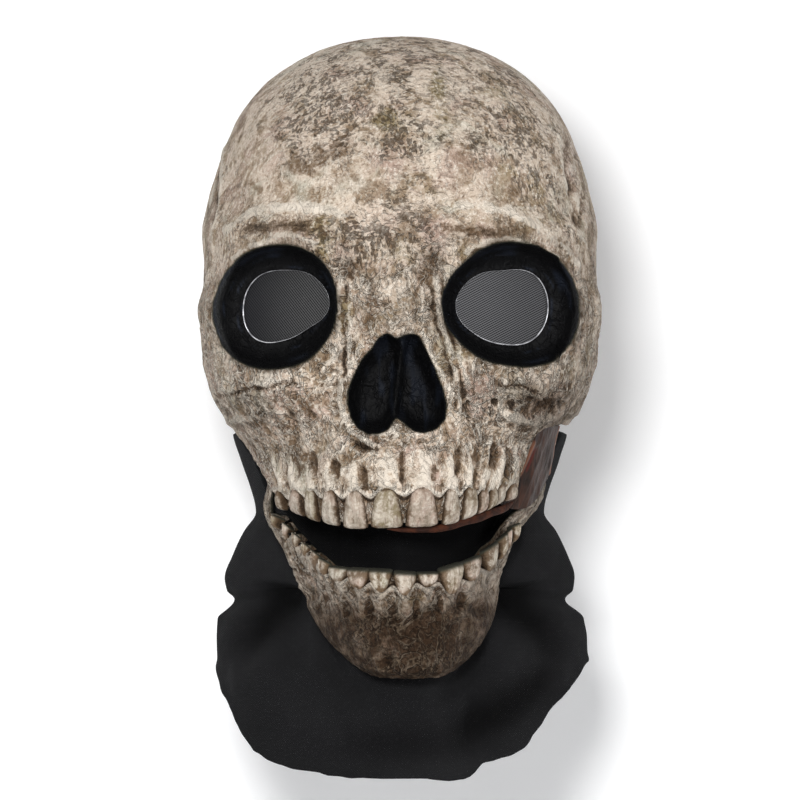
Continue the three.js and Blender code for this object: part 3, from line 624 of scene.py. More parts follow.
def gum_lip(x, d, teeth, way, papilla):
    """Rise of a gum's lip over the teeth, and of the recess between the teeth beyond it."""
    beyond = (gum_edge(x, teeth, way, papilla) - d) * way
    reach = 0.5 * (teeth[-1]["across"] - teeth[0]["across"])
    middle = 0.5 * (teeth[-1]["across"] + teeth[0]["across"])
    along = smooth((reach + 5 - np.abs(x - middle)) / 5)
    lip = 0.55 * np.exp(-(((beyond + 1) / 0.9) ** 2))
    return along * (lip - 1.7 * smooth(beyond / 0.9 + 0.5))


def gum_edge(x, teeth, way, papilla):
    """Drop of a scalloped gum: it arches over each tooth and reaches down between two."""
    table = []
    for row, after in zip(teeth, teeth[1:] + [None]):
        table.append({"x": row["across"], "drop": row["gum"]})
        if after:
            between = 0.5 * (row["across"] + row["width"] / 2 + after["across"] - after["width"] / 2)
            low = 0.5 * (row["gum"] + after["gum"]) - way * papilla
            table.append({"x": between, "drop": low})
    return column(table, "x", "drop")(x)


def gum_edge_light_and_shadow(x, d, teeth, way, papilla):
    """A painted highlight on a gum's lip and a painted shadow line below its edge, as values of cavity."""
    beyond = (gum_edge(x, teeth, way, papilla) - d) * way
    return 1.4 * np.exp(-(((beyond + 1.2) / 0.9) ** 2)) - 1.9 * np.exp(-(((beyond - 0.5) / 0.7) ** 2))


def spaced_angles(count, crowd):
    """Angles round the head axis, crowded towards the face."""
    t = 2 * np.arange(count) / count - 1
    return math.pi * ((1 - crowd) * t + crowd * t**3)


def skull_grid():
    """Angles and drops of the skull's grid: rows down, columns round."""
    around, crown_rows, face_rows, lip_rows = 360, 66, 132, 14
    crown_foot = 92
    angle = spaced_angles(around, 0.5)
    turn = np.degrees(angle)
    rim = skull_edge(turn) + 0.5 * noise(turn, 0 * turn, 0 * turn, 4) * (np.abs(turn) > 30)
    x_rim = skull_radius(angle, rim) * np.sin(angle)
    toothed = smooth((41 - np.abs(turn)) / 3)
    tips = column(UPPER_TEETH, "across", "tip")(x_rim) - 2
    edge = rim + (tips - rim) * toothed
    plain_lip = edge - 5
    lip = plain_lip + (gum_edge(x_rim, UPPER_TEETH, -1, UPPER_PAPILLA) - plain_lip) * toothed
    arc = np.arange(1, crown_rows + 1) / crown_rows * math.pi / 2
    crown = np.repeat(crown_foot * (1 - np.cos(arc))[:, None], around, 1)
    face = crown_foot + (lip - crown_foot)[None, :] * np.linspace(0, 1, face_rows + 1)[1:, None]
    below = lip + (edge - lip)[None, :] * np.linspace(0, 1, lip_rows + 1)[1:, None]
    drops = np.concatenate([crown, face, below])
    return np.broadcast_to(angle, drops.shape), drops


def normals_of(points, closed):
    """Outward normals of a grid of points, rows down and columns round."""
    if closed:
        along = np.roll(points, -1, 1) - np.roll(points, 1, 1)
    else:
        along = np.gradient(points, axis=1)
    down = np.gradient(points, axis=0)
    n = np.cross(down, along)
    return n / np.maximum(np.linalg.norm(n, axis=-1, keepdims=True), 1e-9)


def blurred(field, times, closed):
    """A grid's values, averaged with their neighbours a number of times."""
    for _ in range(times):
        if closed:
            side = np.roll(field, 1, 1) + np.roll(field, -1, 1)
        else:
            side = np.pad(field, ((0, 0), (1, 1)), "edge")
            side = side[:, :-2] + side[:, 2:]
        tall = np.pad(field, ((1, 1), (0, 0)), "edge")
        field = 0.25 * side + 0.25 * (tall[:-2] + tall[2:])
    return field


def black_paint(x, d):
    """Where the sockets and the nose recess are painted black, from 0 to 1."""
    wobble = 0.03 * rough(x, d, 0 * x, 7, 2)
    paint = np.zeros(np.shape(x))
    for socket in SOCKETS:
        out = socket_out(socket, x, d)
        paint = np.maximum(paint, smooth((1.09 - out + wobble) / 0.2))
    inside = inside_outline(x, d, NOSE_OUTLINE)
    return np.maximum(paint, smooth((inside + 0.3 + 14 * wobble) / 1.6))


def finish_mesh(name, points, faces, values, material):
    """Makes a mesh object from points in millimetres, with a float attribute for each named value."""
    mesh = bpy.data.meshes.new(name)
    mesh.from_pydata((np.asarray(points) * MM).tolist(), [], faces)
    mesh.validate()
    for key, value in values.items():
        attribute = mesh.attributes.new(key, "FLOAT", "POINT")
        attribute.data.foreach_set("value", np.asarray(value, np.float32).ravel())
    mesh.polygons.foreach_set("use_smooth", [True] * len(mesh.polygons))
    mesh.materials.append(material)
    obj = bpy.data.objects.new(name, mesh)
    bpy.context.scene.collection.objects.link(obj)
    return obj


def grid_faces(first, down, around, closed, flip=False):
    """Quads of a grid whose point numbers start at first."""
    wide = around if closed else around - 1
    j, i = np.meshgrid(np.arange(down - 1), np.arange(wide), indexing="ij")
    a = first + j * around + i
    b = first + j * around + (i + 1) % around
    quads = np.stack([a, a + around, b + around, b], -1).reshape(-1, 4)
    return (quads[:, ::-1] if flip else quads).tolist()


def seam_faces(outer, inner, closed, flip=False):
    """Quads between two rows of point numbers."""
    count = len(outer)
    faces = []
    for i in range(count if closed else count - 1):
        k = (i + 1) % count
        face = [outer[i], inner[i], inner[k], outer[k]]
        faces.append(face[::-1] if flip else face)
    return faces


# Paint colours, as they look on the mask in plain light.
def paint(red, green, blue):
    """A colour for a shader, from how it looks on a screen."""
    values = []
    for level in (red, green, blue):
        level /= 255
        values.append(level / 12.92 if level <= 0.04045 else ((level + 0.055) / 1.055) ** 2.4)
    return (*values, 1)


BONE_PALE = paint(220, 211, 197)
BONE_LIGHT = paint(197, 182, 165)
BONE_TAN = paint(157, 137, 116)
BONE_PINK = paint(172, 147, 134)
BONE_OLIVE = paint(132, 119, 84)
BONE_GREEN = paint(181, 180, 165)
BONE_BROWN = paint(104, 83, 62)
BONE_DARK = paint(50, 39, 28)
SOCKET_BLACK = paint(3, 3, 4)
SOCKET_STROKE = paint(28, 33, 43)
SOCKET_EDGE = paint(56, 54, 42)

# Soft patches of the paint seen from the front, brown above 0 and pale below it: stains, and also painted
# shade under the brows, beside the nose and at the sockets' inner corners, and painted highlight on the nose
# bridge, the brow ridges, the crown and the left side.
STAINS_AND_PAINTED_LIGHT = rows(
    "across drop wide tall lean amount",
    (-46, 61, 17, 6, -22, 0.6),
    (-26, 51, 12, 4, -28, 0.5),
    (-9, 37, 12, 4, -20, 0.45),
    (4, 12, 24, 5, 0, 0.1),
    (19, 24, 6, 11, -20, 0.35),
    (30, 46, 5, 15, -25, 0.5),
    (53, 74, 8, 6, 0, 0.6),
    (-74, 48, 3, 12, 20, 0.35),
    (-38, 79, 14, 4, -8, -0.7),
    (-56, 21, 12, 8, 20, -0.5),
    (-35, 30, 12, 8, 0, -0.4),
    (34, 73, 10, 12, 30, -0.6),
    (41, 37, 8, 6, 0, -0.5),
    (-18, 22, 12, 6, 0, -0.3),
    (-52, 88, 13, 3, 10, 0.7),
    (30, 90, 14, 3.5, 5, 0.7),
    (0, 98, 12, 9, 0, 0.15),
    (-18, 94, 8, 4, 0, 0.3),
    (2, 131, 7, 6, 0, -1.1),
    (-3, 118, 4, 9, 0, -0.5),
    (-14, 128, 3.5, 10, 15, 0.7),
    (14, 126, 3.5, 12, -15, 0.7),
    (-24, 106, 6, 8, -30, 0.7),
    (15, 104, 6, 9, 30, 0.7),
    (-20, 76, 10, 4, 0, -0.6),
    (45, 76, 16, 3, 8, -0.8),
    (-50, 96, 14, 2.5, 0, -0.7),
    (48, 96, 14, 2.5, 0, -0.6),
    (-58, 177, 14, 9, 10, 0.55),
    (-66, 192, 7, 10, -10, 0.5),
    (-46, 197, 10, 8, 0, 0.55),
    (-43, 171, 3, 9, -30, 0.7),
    (-80, 152, 5, 8, 0, -0.3),
    (-36, 156, 8, 5, 0, -0.5),
    (-24, 196, 5, 9, 0, 0.4),
    (-12, 184.5, 8, 2.5, 10, 0.9),
    (6, 187, 4, 4, 0, 0.6),
    (-6, 198, 8, 6, 0, -0.8),
    (13, 196, 7, 7, 0, -0.5),
    (62, 170, 8, 4, 10, 0.6),
    (30, 172, 4, 8, 0, 0.5),
    (45, 178, 9, 4, 20, -0.5),
    (60, 178.5, 12, 1.8, 0, -0.6),
    (80, 122, 5, 16, 0, 0.4),
    (48, 196, 8, 8, 0, 0.15),
    (34, 184, 8, 6, 0, -0.5),
    (-2, 188, 5, 4, 0, -0.3),
    (-60, 160, 10, 3, 0, -0.5),
    (60, 150, 10, 4, 0, -0.5),
    (0, 20, 60, 14, 0, -0.4),
    (60, 50, 14, 22, 0, -0.5),
    (28, 192, 16, 7, 0, -0.6),
    (-30, 192, 16, 7, 0, -0.3),
    (-84, 108, 6, 40, 0, -0.5),
    (12, 277, 15, 11, 0, 1),
    (-10, 268, 14, 6, 0, 0.6),
    (-30, 274, 9, 8, 0, 0.25),
    (8, 291, 14, 3, 0, 0.7),
    (-18, 262, 20, 4, 0, 0.5),
    (22, 262, 12, 5, 0, 0.5),
    (-8, 280, 6, 4, 0, -0.3),
    (43, 250, 6, 12, -25, -0.4),
)


# Painted shade, wider than the stains: darker in the hollows, under the brows, beside the nose, under the
# cheekbones and at the sides, and over the middle of the forehead and the nose, which the front lamp lights
# most. The shade value also darkens the jaw towards the chin.
SHADES = rows(
    "across drop wide tall lean amount",
    (0, 50, 55, 50, 0, 0.14),
    (0, 122, 20, 32, 0, 0.2),
    (70, 160, 20, 20, 0, 0.15),
    (-50, 92, 20, 5, 5, 0.35),
    (45, 93, 22, 5, 0, 0.35),
    (0, 96, 10, 10, 0, 0.05),
    (-27, 125, 4, 22, 0, 0.25),
    (20, 128, 5, 20, 0, 0.3),
    (-70, 172, 16, 10, -15, 0.3),
    (60, 166, 22, 8, 10, 0.65),
    (-24, 104, 5, 9, -25, 0.35),
    (15, 103, 5, 9, 25, 0.35),
    (33, 166, 7, 12, 0, 0.25),
    (82, 140, 8, 30, 0, 0.35),
    (66, 180, 12, 8, 0, 0.6),
    (-45, 188, 8, 14, 0, 0.15),
    (-88, 72, 4, 30, 5, 0.3),
    (-91, 124, 3.5, 9, 0, 0.35),
    (86, 70, 6, 24, -10, 0.1),
    (90, 100, 5, 20, 0, 0.15),
)


# Warmer and cooler patches of the paint: olive above 0 and pinkish below it.
TINTS = rows(
    "across drop wide tall lean amount",
    (17.6, 20, 5, 10, -10, 0.9),
    (-7.5, 39, 8, 5, 10, 0.8),
    (-6.5, 56, 9, 8, 0, -0.9),
    (20, 40, 6, 12, -20, 0.4),
    (-42, 87, 9, 4, 0, 1.1),
    (-34, 98, 7, 9, 0, 0.9),
    (-25, 127, 4, 9, 0, 0.8),
    (2, 101, 6, 8, 0, 0.8),
    (14, 89, 8, 7, 0, -0.7),
    (33, 147, 7, 4, 10, 0.8),
    (38, 160, 9, 6, 0, -0.7),
    (37, 169, 7, 8, 0, -0.9),
    (-37, 172, 8, 9, 0, -0.6),
    (-57, 166, 14, 7, 5, -0.5),
    (60, 150, 12, 5, 0, 0.4),
    (2, 190, 6, 6, 0, -0.6),
    (14, 197, 6, 8, 0, -0.8),
    (8, 277, 20, 10, 0, -0.9),
    (-20, 266, 12, 8, 0, -0.5),
    (-60, 60, 14, 9, 0, -0.4),
    (44, 60, 10, 9, 0, -0.4),
)


# Where the small dark marks are dense (above 0) or the paint is smooth (below it).
SPECKS = rows(
    "across drop wide tall lean amount",
    (0, 10, 50, 16, 0, 0.35),
    (-38, 38, 18, 16, 20, 0.7),
    (5, 45, 16, 18, 30, 0.4),
    (48, 42, 18, 22, -20, 0.3),
    (-64, 55, 12, 22, 0, -0.4),
    (-38, 70, 24, 9, -8, -0.9),
    (37, 72, 14, 11, 20, -0.7),
    (-34, 78, 14, 4, 0, -0.3),
    (8, 70, 12, 9, 0, 0.2),
    (62, 60, 9, 20, 0, 0.3),
    (0, 95, 16, 12, 0, 0.3),
    (-20, 98, 12, 10, 0, 0.6),
    (-62, 172, 22, 9, 0, 0.3),
    (-40, 185, 16, 16, 0, 0.1),
    (56, 175, 18, 10, 0, 0.4),
)


def patches(table, x, d):
    """The sum of a table's soft patches, seen from the front."""
    total = np.zeros(np.shape(x))
    for row in table:
        lean = math.radians(row["lean"])
        a = (x - row["across"]) * math.cos(lean) + (d - row["drop"]) * math.sin(lean)
        b = (d - row["drop"]) * math.cos(lean) - (x - row["across"]) * math.sin(lean)
        total += row["amount"] * np.exp(-((a / row["wide"]) ** 2) - (b / row["tall"]) ** 2)
    return total


class Nodes:
    """A new material's shader nodes, with short names for what the paints use."""

    def __init__(self, name):
        self.material = bpy.data.materials.new(name)
        self.material.use_nodes = True
        self.tree = self.material.node_tree
        self.tree.nodes.clear()
        self.output = self.make("ShaderNodeOutputMaterial")
        self.shader = self.make("ShaderNodeBsdfPrincipled")
        self.join(self.shader.outputs["BSDF"], self.output.inputs["Surface"])

    def make(self, kind, **settings):
        node = self.tree.nodes.new(kind)
        for key, value in settings.items():
            setattr(node, key, value)
        return node

    def join(self, output, socket):
        self.tree.links.new(output, socket)

    def plug(self, value, socket):
        """Links a node's output to a socket, or sets the socket to a plain value."""
        if isinstance(value, bpy.types.NodeSocket):
            self.join(value, socket)
        else:
            socket.default_value = value

    def set(self, **sockets):
        """Gives the shader's sockets their values. A name's underscores stand for spaces."""
        for key, value in sockets.items():
            self.plug(value, self.shader.inputs[key.replace("_", " ")])

    def math(self, operation, a, b=0.0, clamped=False):
        node = self.make("ShaderNodeMath", operation=operation, use_clamp=clamped)
        self.plug(a, node.inputs[0])
        self.plug(b, node.inputs[1])
        return node.outputs[0]

    def times(self, a, b, clamped=False):
        return self.math("MULTIPLY", a, b, clamped)

    def plus(self, a, b, clamped=False):
        return self.math("ADD", a, b, clamped)

    def minus(self, a, b):
        return self.math("SUBTRACT", a, b)

    def larger(self, a, b):
        return self.math("MAXIMUM", a, b)

    def away(self, value, level):
        """How far a value is from a level, either way."""
        return self.math("ABSOLUTE", self.minus(value, level))

    def mix(self, share, a, b, blend="MIX"):
        node = self.make("ShaderNodeMix", data_type="RGBA", blend_type=blend)
        self.plug(share, node.inputs[0])
        self.plug(a, node.inputs[6])
        self.plug(b, node.inputs[7])
        return node.outputs[2]

    def coats(self, color, *coats):
        """Lays coats of paint over a colour, each where its value lies in its range."""
        for value, low, high, to_low, to_high, paint_over in coats:
            color = self.mix(self.range(value, low, high, to_low, to_high), color, paint_over)
        return color

    def range(self, value, low, high, to_low=0.0, to_high=1.0):
        """A smooth step of a value from one range to another."""
        node = self.make("ShaderNodeMapRange", interpolation_type="SMOOTHSTEP")
        levels = (value, low, high, to_low, to_high)
        for key, part in zip(("Value", "From Min", "From Max", "To Min", "To Max"), levels):
            self.plug(part, node.inputs[key])
        return node.outputs["Result"]

    def place(self, scale=(1, 1, 1), turn=(0, 0, 0)):
        coordinates = self.make("ShaderNodeTexCoord")
        mapping = self.make("ShaderNodeMapping")
        mapping.inputs["Scale"].default_value = scale
        mapping.inputs["Rotation"].default_value = [math.radians(t) for t in turn]
        self.join(coordinates.outputs["Object"], mapping.inputs["Vector"])
        return mapping.outputs["Vector"]

    def noise(self, place, scale, detail=4.0, roughness=0.55, distortion=0.0):
        node = self.make("ShaderNodeTexNoise", normalize=True)
        levels = (place, scale, detail, roughness, distortion)
        for key, part in zip(("Vector", "Scale", "Detail", "Roughness", "Distortion"), levels):
            self.plug(part, node.inputs[key])
        return node.outputs[0]

    def value(self, name):
        return self.make("ShaderNodeAttribute", attribute_name=name).outputs["Fac"]

    def bump(self, height, distance, strength, after=None):
        node = self.make("ShaderNodeBump")
        node.inputs["Strength"].default_value = strength
        node.inputs["Distance"].default_value = distance
        self.join(height, node.inputs["Height"])
        if after is not None:
            self.join(after, node.inputs["Normal"])
        return node.outputs["Normal"]


def bone_material(name, streaks=0.0, marked=1.0, tinge=None, grainy=1.0):
    """Aged bone paint on rubber: mottled coats, brown washed into worm-like pits, black in the recesses, and
    painted shade and highlight from the values it reads.
    """
    n = Nodes(name)
    place = n.place()
    wide = n.noise(place, 26, 3, 0.6, 0.3)
    wide_b = n.noise(n.place(turn=(40, 20, 70)), 42, 4, 0.6, 0.5)
    wide_c = n.noise(n.place(turn=(10, 80, 30)), 34, 4, 0.6, 0.5)
    patch = n.noise(place, 95, 7, 0.66, 0.5)
    grain = n.noise(place, 640, 4, 0.7, 0.4)
    worms = n.noise(n.place((0.7, 1, 1.35), (0, 32, 0)), 400, 2, 0.5, 0.8)
    worms_b = n.noise(n.place((1.3, 1, 0.6), (0, -20, 0)), 440, 2, 0.5, 0.8)
    lean = n.range(wide_c, 0.46, 0.54)
    worm = n.mix(lean, worms, worms_b)

    color = n.mix(n.range(patch, 0.42, 0.56), BONE_TAN, BONE_LIGHT)
    color = n.coats(
        color,
        (wide, 0.52, 0.66, 0, 0.7, BONE_TAN),
        (wide_b, 0.5, 0.66, 0, 0.6, BONE_PINK),
        (wide_c, 0.55, 0.7, 0, 0.5, BONE_OLIVE),
        (wide_b, 0.3, 0.45, 0.6, 0, BONE_GREEN),
    )
    if tinge:
        color = n.mix(0.45, color, tinge)
    unevenly = n.range(patch, 0.38, 0.62, 0.3, -0.3)
    tint = n.plus(n.value("tint"), unevenly)
    stain_and_painted_light = n.plus(n.value("stain_and_painted_light"), unevenly)
    # The stain value lays brown above 0 and pale below it: real stains, painted shade in hollows and under
    # the brows, and painted highlight on lit ridges and the left side.
    color = n.coats(
        color,
        (tint, 0.05, 1, 0, 0.85, BONE_OLIVE),
        (tint, -1, -0.05, 0.85, 0, BONE_PINK),
        (stain_and_painted_light, 0.1, 0.75, 0, 0.85, BONE_BROWN),
        (stain_and_painted_light, -0.8, -0.2, 0.7, 0, BONE_LIGHT),
    )
    bright = n.range(grain, 0.54, 0.62)
    clean = n.range(stain_and_painted_light, -0.3, 0.5, 0.7 * grainy, 0.25 * grainy)
    color = n.mix(n.times(bright, clean), color, BONE_PALE)
    color = n.coats(color, (grain, 0.37, 0.45, 0.4 * grainy, 0, BONE_BROWN))

    density = n.times(n.value("speck"), n.range(patch, 0.66, 0.4, 0.6, 1.25))
    density = n.times(density, marked)
    level = n.plus(worm, n.times(density, -0.09))
    marks = n.times(n.range(level, 0.36, 0.41, 1, 0), density, True)
    color = n.mix(n.times(marks, 0.72), color, BONE_DARK)
    curls = n.noise(n.place((1, 1, 0.75)), 170, 2, 0.5, 0.9)
    broad = n.noise(n.place((1, 1, 0.8), (0, 30, 0)), 85, 3, 0.55, 0.8)
    vein = n.value("vein")
    curl = n.away(curls, 0.5)
    beside = n.times(n.range(curl, 0.05, 0.085), vein)
    finer = n.times(n.range(curl, 0.005, 0.022, 1, 0), vein)
    wider = n.times(n.range(n.away(broad, 0.5), 0.003, 0.03, 1, 0), vein)
    thread = n.larger(finer, wider)
    finer = n.times(n.range(n.away(curls, 0.54), 0, 0.026, 0.8, 0), vein)
    wider = n.times(n.range(n.away(broad, 0.535), 0, 0.028, 1, 0), vein)
    crack = n.larger(finer, wider)
    # Painted highlight and shade: the pale threads stand in for light on raised filaments, and the dark
    # cracks are partly painted cracks and partly painted shade in the creases, with brown beside the curls.
    lines = ((beside, 0.22, BONE_BROWN), (crack, 0.45, BONE_DARK), (thread, 0.75, BONE_PALE))
    for line, strength, coat in lines:
        color = n.mix(n.times(line, strength), color, coat)
    # Brown and dark brown in the carved hollows, partly the mask's own brown wash and partly painted shade;
    # pale on the ridges, a painted highlight.
    hollow = n.plus(n.value("cavity"), n.range(grain, 0.34, 0.66, -0.3, 0.3))
    color = n.coats(
        color,
        (hollow, -0.9, -0.1, 0.75, 0, BONE_BROWN),
        (hollow, -1.5, -0.6, 0.85, 0, BONE_DARK),
        (hollow, 0.1, 0.8, 0, 0.6, BONE_PALE),
    )
    if streaks:
        streak = n.noise(n.place((1, 1, 0.14)), 420, 4, 0.6)
        color = n.coats(color, (streak, 0.5, 0.64, 0, streaks, BONE_BROWN))
    # Painted shade: the shade value darkens the paint towards a dull brown.
    shade = n.plus(n.value("shade"), n.range(patch, 0.3, 0.7, 0.12, -0.12), True)
    color = n.mix(shade, color, paint(112, 100, 88), "MULTIPLY")
    black = n.value("black")
    color = n.mix(n.range(black, 0.02, 0.5), color, SOCKET_EDGE)
    coat = n.mix(n.times(n.value("stroke"), 0.8), SOCKET_BLACK, SOCKET_STROKE)
    color = n.mix(n.range(black, 0.3, 0.8), color, coat)
    n.set(Base_Color=color)
    n.set(Roughness=n.range(black, 0.4, 0.9, 0.7, 0.62))
    n.set(Specular_IOR_Level=0.12)

    bare = n.minus(1.0, n.times(black, 0.75))
    height = n.plus(n.times(patch, 1.1), n.times(grain, 0.35))
    height = n.minus(height, n.times(marks, 0.5))
    height = n.plus(height, n.times(thread, 0.6))
    height = n.minus(height, n.times(crack, 0.6))
    height = n.times(height, bare)
    n.set(Normal=n.bump(height, 0.002, 1.0))


def plain_material(name, color, roughness, scale, other=None, amount=0.3, bump=0.0004):
    """A mottled single paint or plastic with a fine uneven surface."""
    n = Nodes(name)
    place = n.place()
    wide = n.noise(place, scale, 4, 0.6)
    fine = n.noise(place, scale * 9, 4, 0.6)
    shade = n.mix(n.range(wide, 0.35, 0.65, 0, amount), color, other or color)
    n.set(Base_Color=shade)
    n.set(Roughness=n.range(fine, 0.3, 0.7, roughness - 0.08, roughness + 0.08))
    n.set(Normal=n.bump(fine, bump, 0.6))
    n.set(Specular_IOR_Level=0.12)


def weave_heights(n, place, pitch, turn):
    """Two crossing sets of threads, as heights from 0 to 1."""
    both = []
    for extra in (0, 90):
        node = n.make("ShaderNodeTexWave", bands_direction="X", wave_profile="SIN")
        mapping = n.make("ShaderNodeMapping")
        mapping.inputs["Rotation"].default_value = (0, math.radians(turn + extra), 0)
        n.join(place, mapping.inputs["Vector"])
        n.join(mapping.outputs["Vector"], node.inputs["Vector"])
        node.inputs["Scale"].default_value = 2 * math.pi / (20 * pitch * MM)
        both.append(node.outputs["Fac"])
    return both


def gauze_material(name, turn, from_x, to_x, low, high):
    """Fine weave in dark grey thread, with painted light that changes its brightness from one side of its eye
    hole to the other.
    """
    n = Nodes(name)
    place = n.place()
    first, second = weave_heights(n, place, 0.95, turn)
    thread = n.larger(first, n.times(second, 0.5))
    split = n.make("ShaderNodeSeparateXYZ")
    n.join(place, split.inputs["Vector"])
    lit = n.mix(n.range(split.outputs["X"], from_x * MM, to_x * MM), low, high)
    color = n.mix(n.range(thread, 0.2, 0.8), paint(17, 17, 19), lit)
    n.set(Base_Color=color)
    n.set(Roughness=0.7)
    n.set(Specular_IOR_Level=0.1)
    n.set(Normal=n.bump(thread, 0.0002, 0.5))


def cloth_material(name):
    """Black knitted stretch cloth, with painted highlight on raised folds and painted shade in fold hollows
    and behind the mouth.
    """
    n = Nodes(name)
    place = n.place()
    first, second = weave_heights(n, place, 0.8, 45)
    knit = n.times(first, second)
    cloud = n.noise(place, 22, 3, 0.5)
    fuzz = n.noise(place, 900, 3, 0.6)
    color = n.mix(n.range(cloud, 0.35, 0.65), paint(22, 22, 23), paint(28, 28, 29))
    # Painted light: the fold value lightens the raised folds and darkens the hollows and the cloth behind the
    # mouth.
    fold = n.value("fold")
    color = n.coats(
        color,
        (fold, 0, 1.4, 0, 0.6, paint(46, 46, 48)),
        (knit, 0, 0.9, 0, 0.3, paint(38, 38, 39)),
        (fuzz, 0.5, 0.8, 0, 0.25, paint(50, 50, 51)),
        (fold, -1, 0.1, 0.9, 0, paint(3, 3, 3)),
    )
    n.set(Base_Color=color)
    n.set(Roughness=0.92)
    n.set(Specular_IOR_Level=0.05)
    n.set(Sheen_Weight=0.02)
    n.set(Sheen_Roughness=0.5)
    n.set(Sheen_Tint=paint(120, 120, 125))
    soft = n.bump(cloud, 0.004, 0.25)
    n.set(Normal=n.bump(knit, 0.0004, 0.6, soft))


def muscle_material(name):
    """Red-brown leathery rubber with fibres that run down it."""
    n = Nodes(name)
    place = n.place()
    fibres = n.noise(n.place((1, 1, 0.12), (0, -23, 0)), 420, 5, 0.6, 0.3)
    wide = n.noise(place, 90, 4, 0.6)
    color = n.mix(n.range(wide, 0.35, 0.65), paint(50, 33, 25), paint(30, 21, 17))
    color = n.coats(
        color,
        (fibres, 0.46, 0.66, 0, 0.5, paint(74, 44, 32)),
        (n.value("strip"), 0.2, 0.9, 0, 0.8, paint(118, 76, 55)),
        (n.value("slot"), 0.3, 0.9, 0, 0.95, paint(70, 24, 16)),
    )
    n.set(Base_Color=color)
    n.set(Roughness=n.range(wide, 0.3, 0.7, 0.5, 0.65))
    n.set(Specular_IOR_Level=0.2)
    n.set(Normal=n.bump(fibres, 0.0009, 0.7))


def rim_highlight_material(name):
    """Silvery pale edge of a lens ring, a painted highlight where the eye hole's cut edge catches the light,
    patchy in places.
    """
    n = Nodes(name)
    place = n.place()
    patchy_shine = n.noise(place, 240, 4, 0.6)
    n.set(Base_Color=n.mix(n.range(patchy_shine, 0.4, 0.65), paint(190, 190, 194), paint(120, 120, 124)))
    n.set(Metallic=0.6)
    n.set(Roughness=n.range(patchy_shine, 0.3, 0.7, 0.3, 0.5))


# Pieces.
def carved_values(x, y, d, rise, closed, shift=0):
    """Values that the bone paint reads, from a carved grid: hollows and edges, tints, stains with painted
    light and shade, and marks.
    """
    local = rise - blurred(rise, 14, closed)
    front = smooth((-y - 8) / 22)
    around = rough(x + shift, y, d, 9, 3)
    return {
        "tint": patches(TINTS, x, d) * front + 0.3 * rough(x + 90, y, d + shift, 17, 2),
        "cavity": np.clip(local / 0.72, -2, 2),
        "shade": clamp(patches(SHADES, x, d)) * front,
        "stain_and_painted_light": patches(STAINS_AND_PAINTED_LIGHT, x, d) * front + 0.22 * rough(x + 50, y, d + shift, 24, 3),
        "vein": clamp(0.2 + 0.8 * smooth((d - 85) / 45)) * clamp(0.75 + 0.5 * around),
        "speck": np.clip(0.5 + 0.35 * around + patches(SPECKS, x, d) * front, 0.04, 1.2),
    }


def uneven(x, y, d, fine):
    """Rise of the rough skin: lumps, crinkled filaments and grain."""
    lumps = 0.35 * rough(x, y, d, 16, 3)
    crinkle = 1 - np.abs(rough(x + 200, y, 0.7 * d, 4.5, 3)) * 2.2
    return lumps + fine * (0.5 * np.maximum(crinkle, -0.6) + 0.25 * noise(x, y, d, 1.9))


SEPTUM_RISE = 9
SEPTUM_HALF_WIDTH = 1.7


def recesses(x, y, drop, facing):
    """The y of the skull's outer and inner side with sockets and nose, and the strokes of their paint."""
    deep = y.copy()
    stroke = 0.6 * smooth(noise(x / 1.9, 0 * x, drop / 11, 1) + 0.7 * noise(x / 4, 0 * x, drop / 7, 1))
    for socket in SOCKETS:
        out = socket_out(socket, x, drop)
        floor = -LENS_REACH + (x - socket["hole"][0]) * math.tan(LENS_YAW) * socket["turn"]
        wall = floor - socket_wall(out)
        deep = np.where(facing & (out < 1.3), deeper(deep, wall, 2.2), deep)
        (rx, rd) = socket["rim"]
        round_it = np.arctan2(drop - rd, x - rx)
        brush = noise(out * 11, np.cos(round_it) * 2.2, np.sin(round_it) * 2.2, 1)
        stroke = np.where(out < 1.15, 0.75 * smooth(brush * 2.2 - 0.7), stroke)
    inside = inside_outline(x, drop, NOSE_OUTLINE)
    middle = 1.2 - 0.12 * (drop - 140)
    septum = SEPTUM_RISE * np.exp(-(((x - middle) / SEPTUM_HALF_WIDTH) ** 2)) * smooth((inside - 1.5) / 3)
    recess = -(FACE_REACH - NOSE_DEPTH) - nose_wall(inside)
    in_nose = facing & (inside > -3)
    behind = np.where(in_nose, deeper(deep, recess, 1.6), deep)
    deep = np.where(in_nose, deeper(deep, recess - septum, 1.6), deep)
    return deep, behind, stroke


def paint_skull(values, x, drop, front, facing, lip, roots, hollow):
    """Adds the paint of the roots, of the upper gum's edge and of the sockets' edges: brown stain and painted
    shade in the root hollows, between the teeth and just outside the sockets, and root ridges paler as a
    painted highlight.
    """
    band = root_band(x, drop, UPPER_TEETH, -1) * front
    values["stain_and_painted_light"] = values["stain_and_painted_light"] * (1 - 0.5 * band) + 0.9 * smooth(-lip - 0.6) + band * (0.2 - roots)
    values["stain_and_painted_light"] = values["stain_and_painted_light"] + 1.5 * hollow * front - 1.1 * band * clamp(roots)
    along = smooth((57 - np.abs(x + 2)) / 4) * front
    values["cavity"] = values["cavity"] + along * gum_edge_light_and_shadow(x, drop, UPPER_TEETH, -1, UPPER_PAPILLA)
    values["speck"] = values["speck"] * (1 - 0.6 * band)
    values["vein"] = values["vein"] * (1 - 0.7 * band)
    values["shade"] = clamp(values["shade"] + 0.35 * hollow * front - 0.15 * band * clamp(roots))
    values["cavity"] = values["cavity"] + 0.5 * band * (roots - 0.5)
    rims = np.minimum(socket_out(SOCKETS[0], x, drop), socket_out(SOCKETS[1], x, drop))
    fringe = smooth((1.34 - rims) / 0.3) * facing * clamp(0.7 + rough(x, drop, 0 * x, 7, 2))
    values["stain_and_painted_light"] = values["stain_and_painted_light"] + 0.6 * fringe
    values["shade"] = clamp(values["shade"] + 0.45 * fringe)


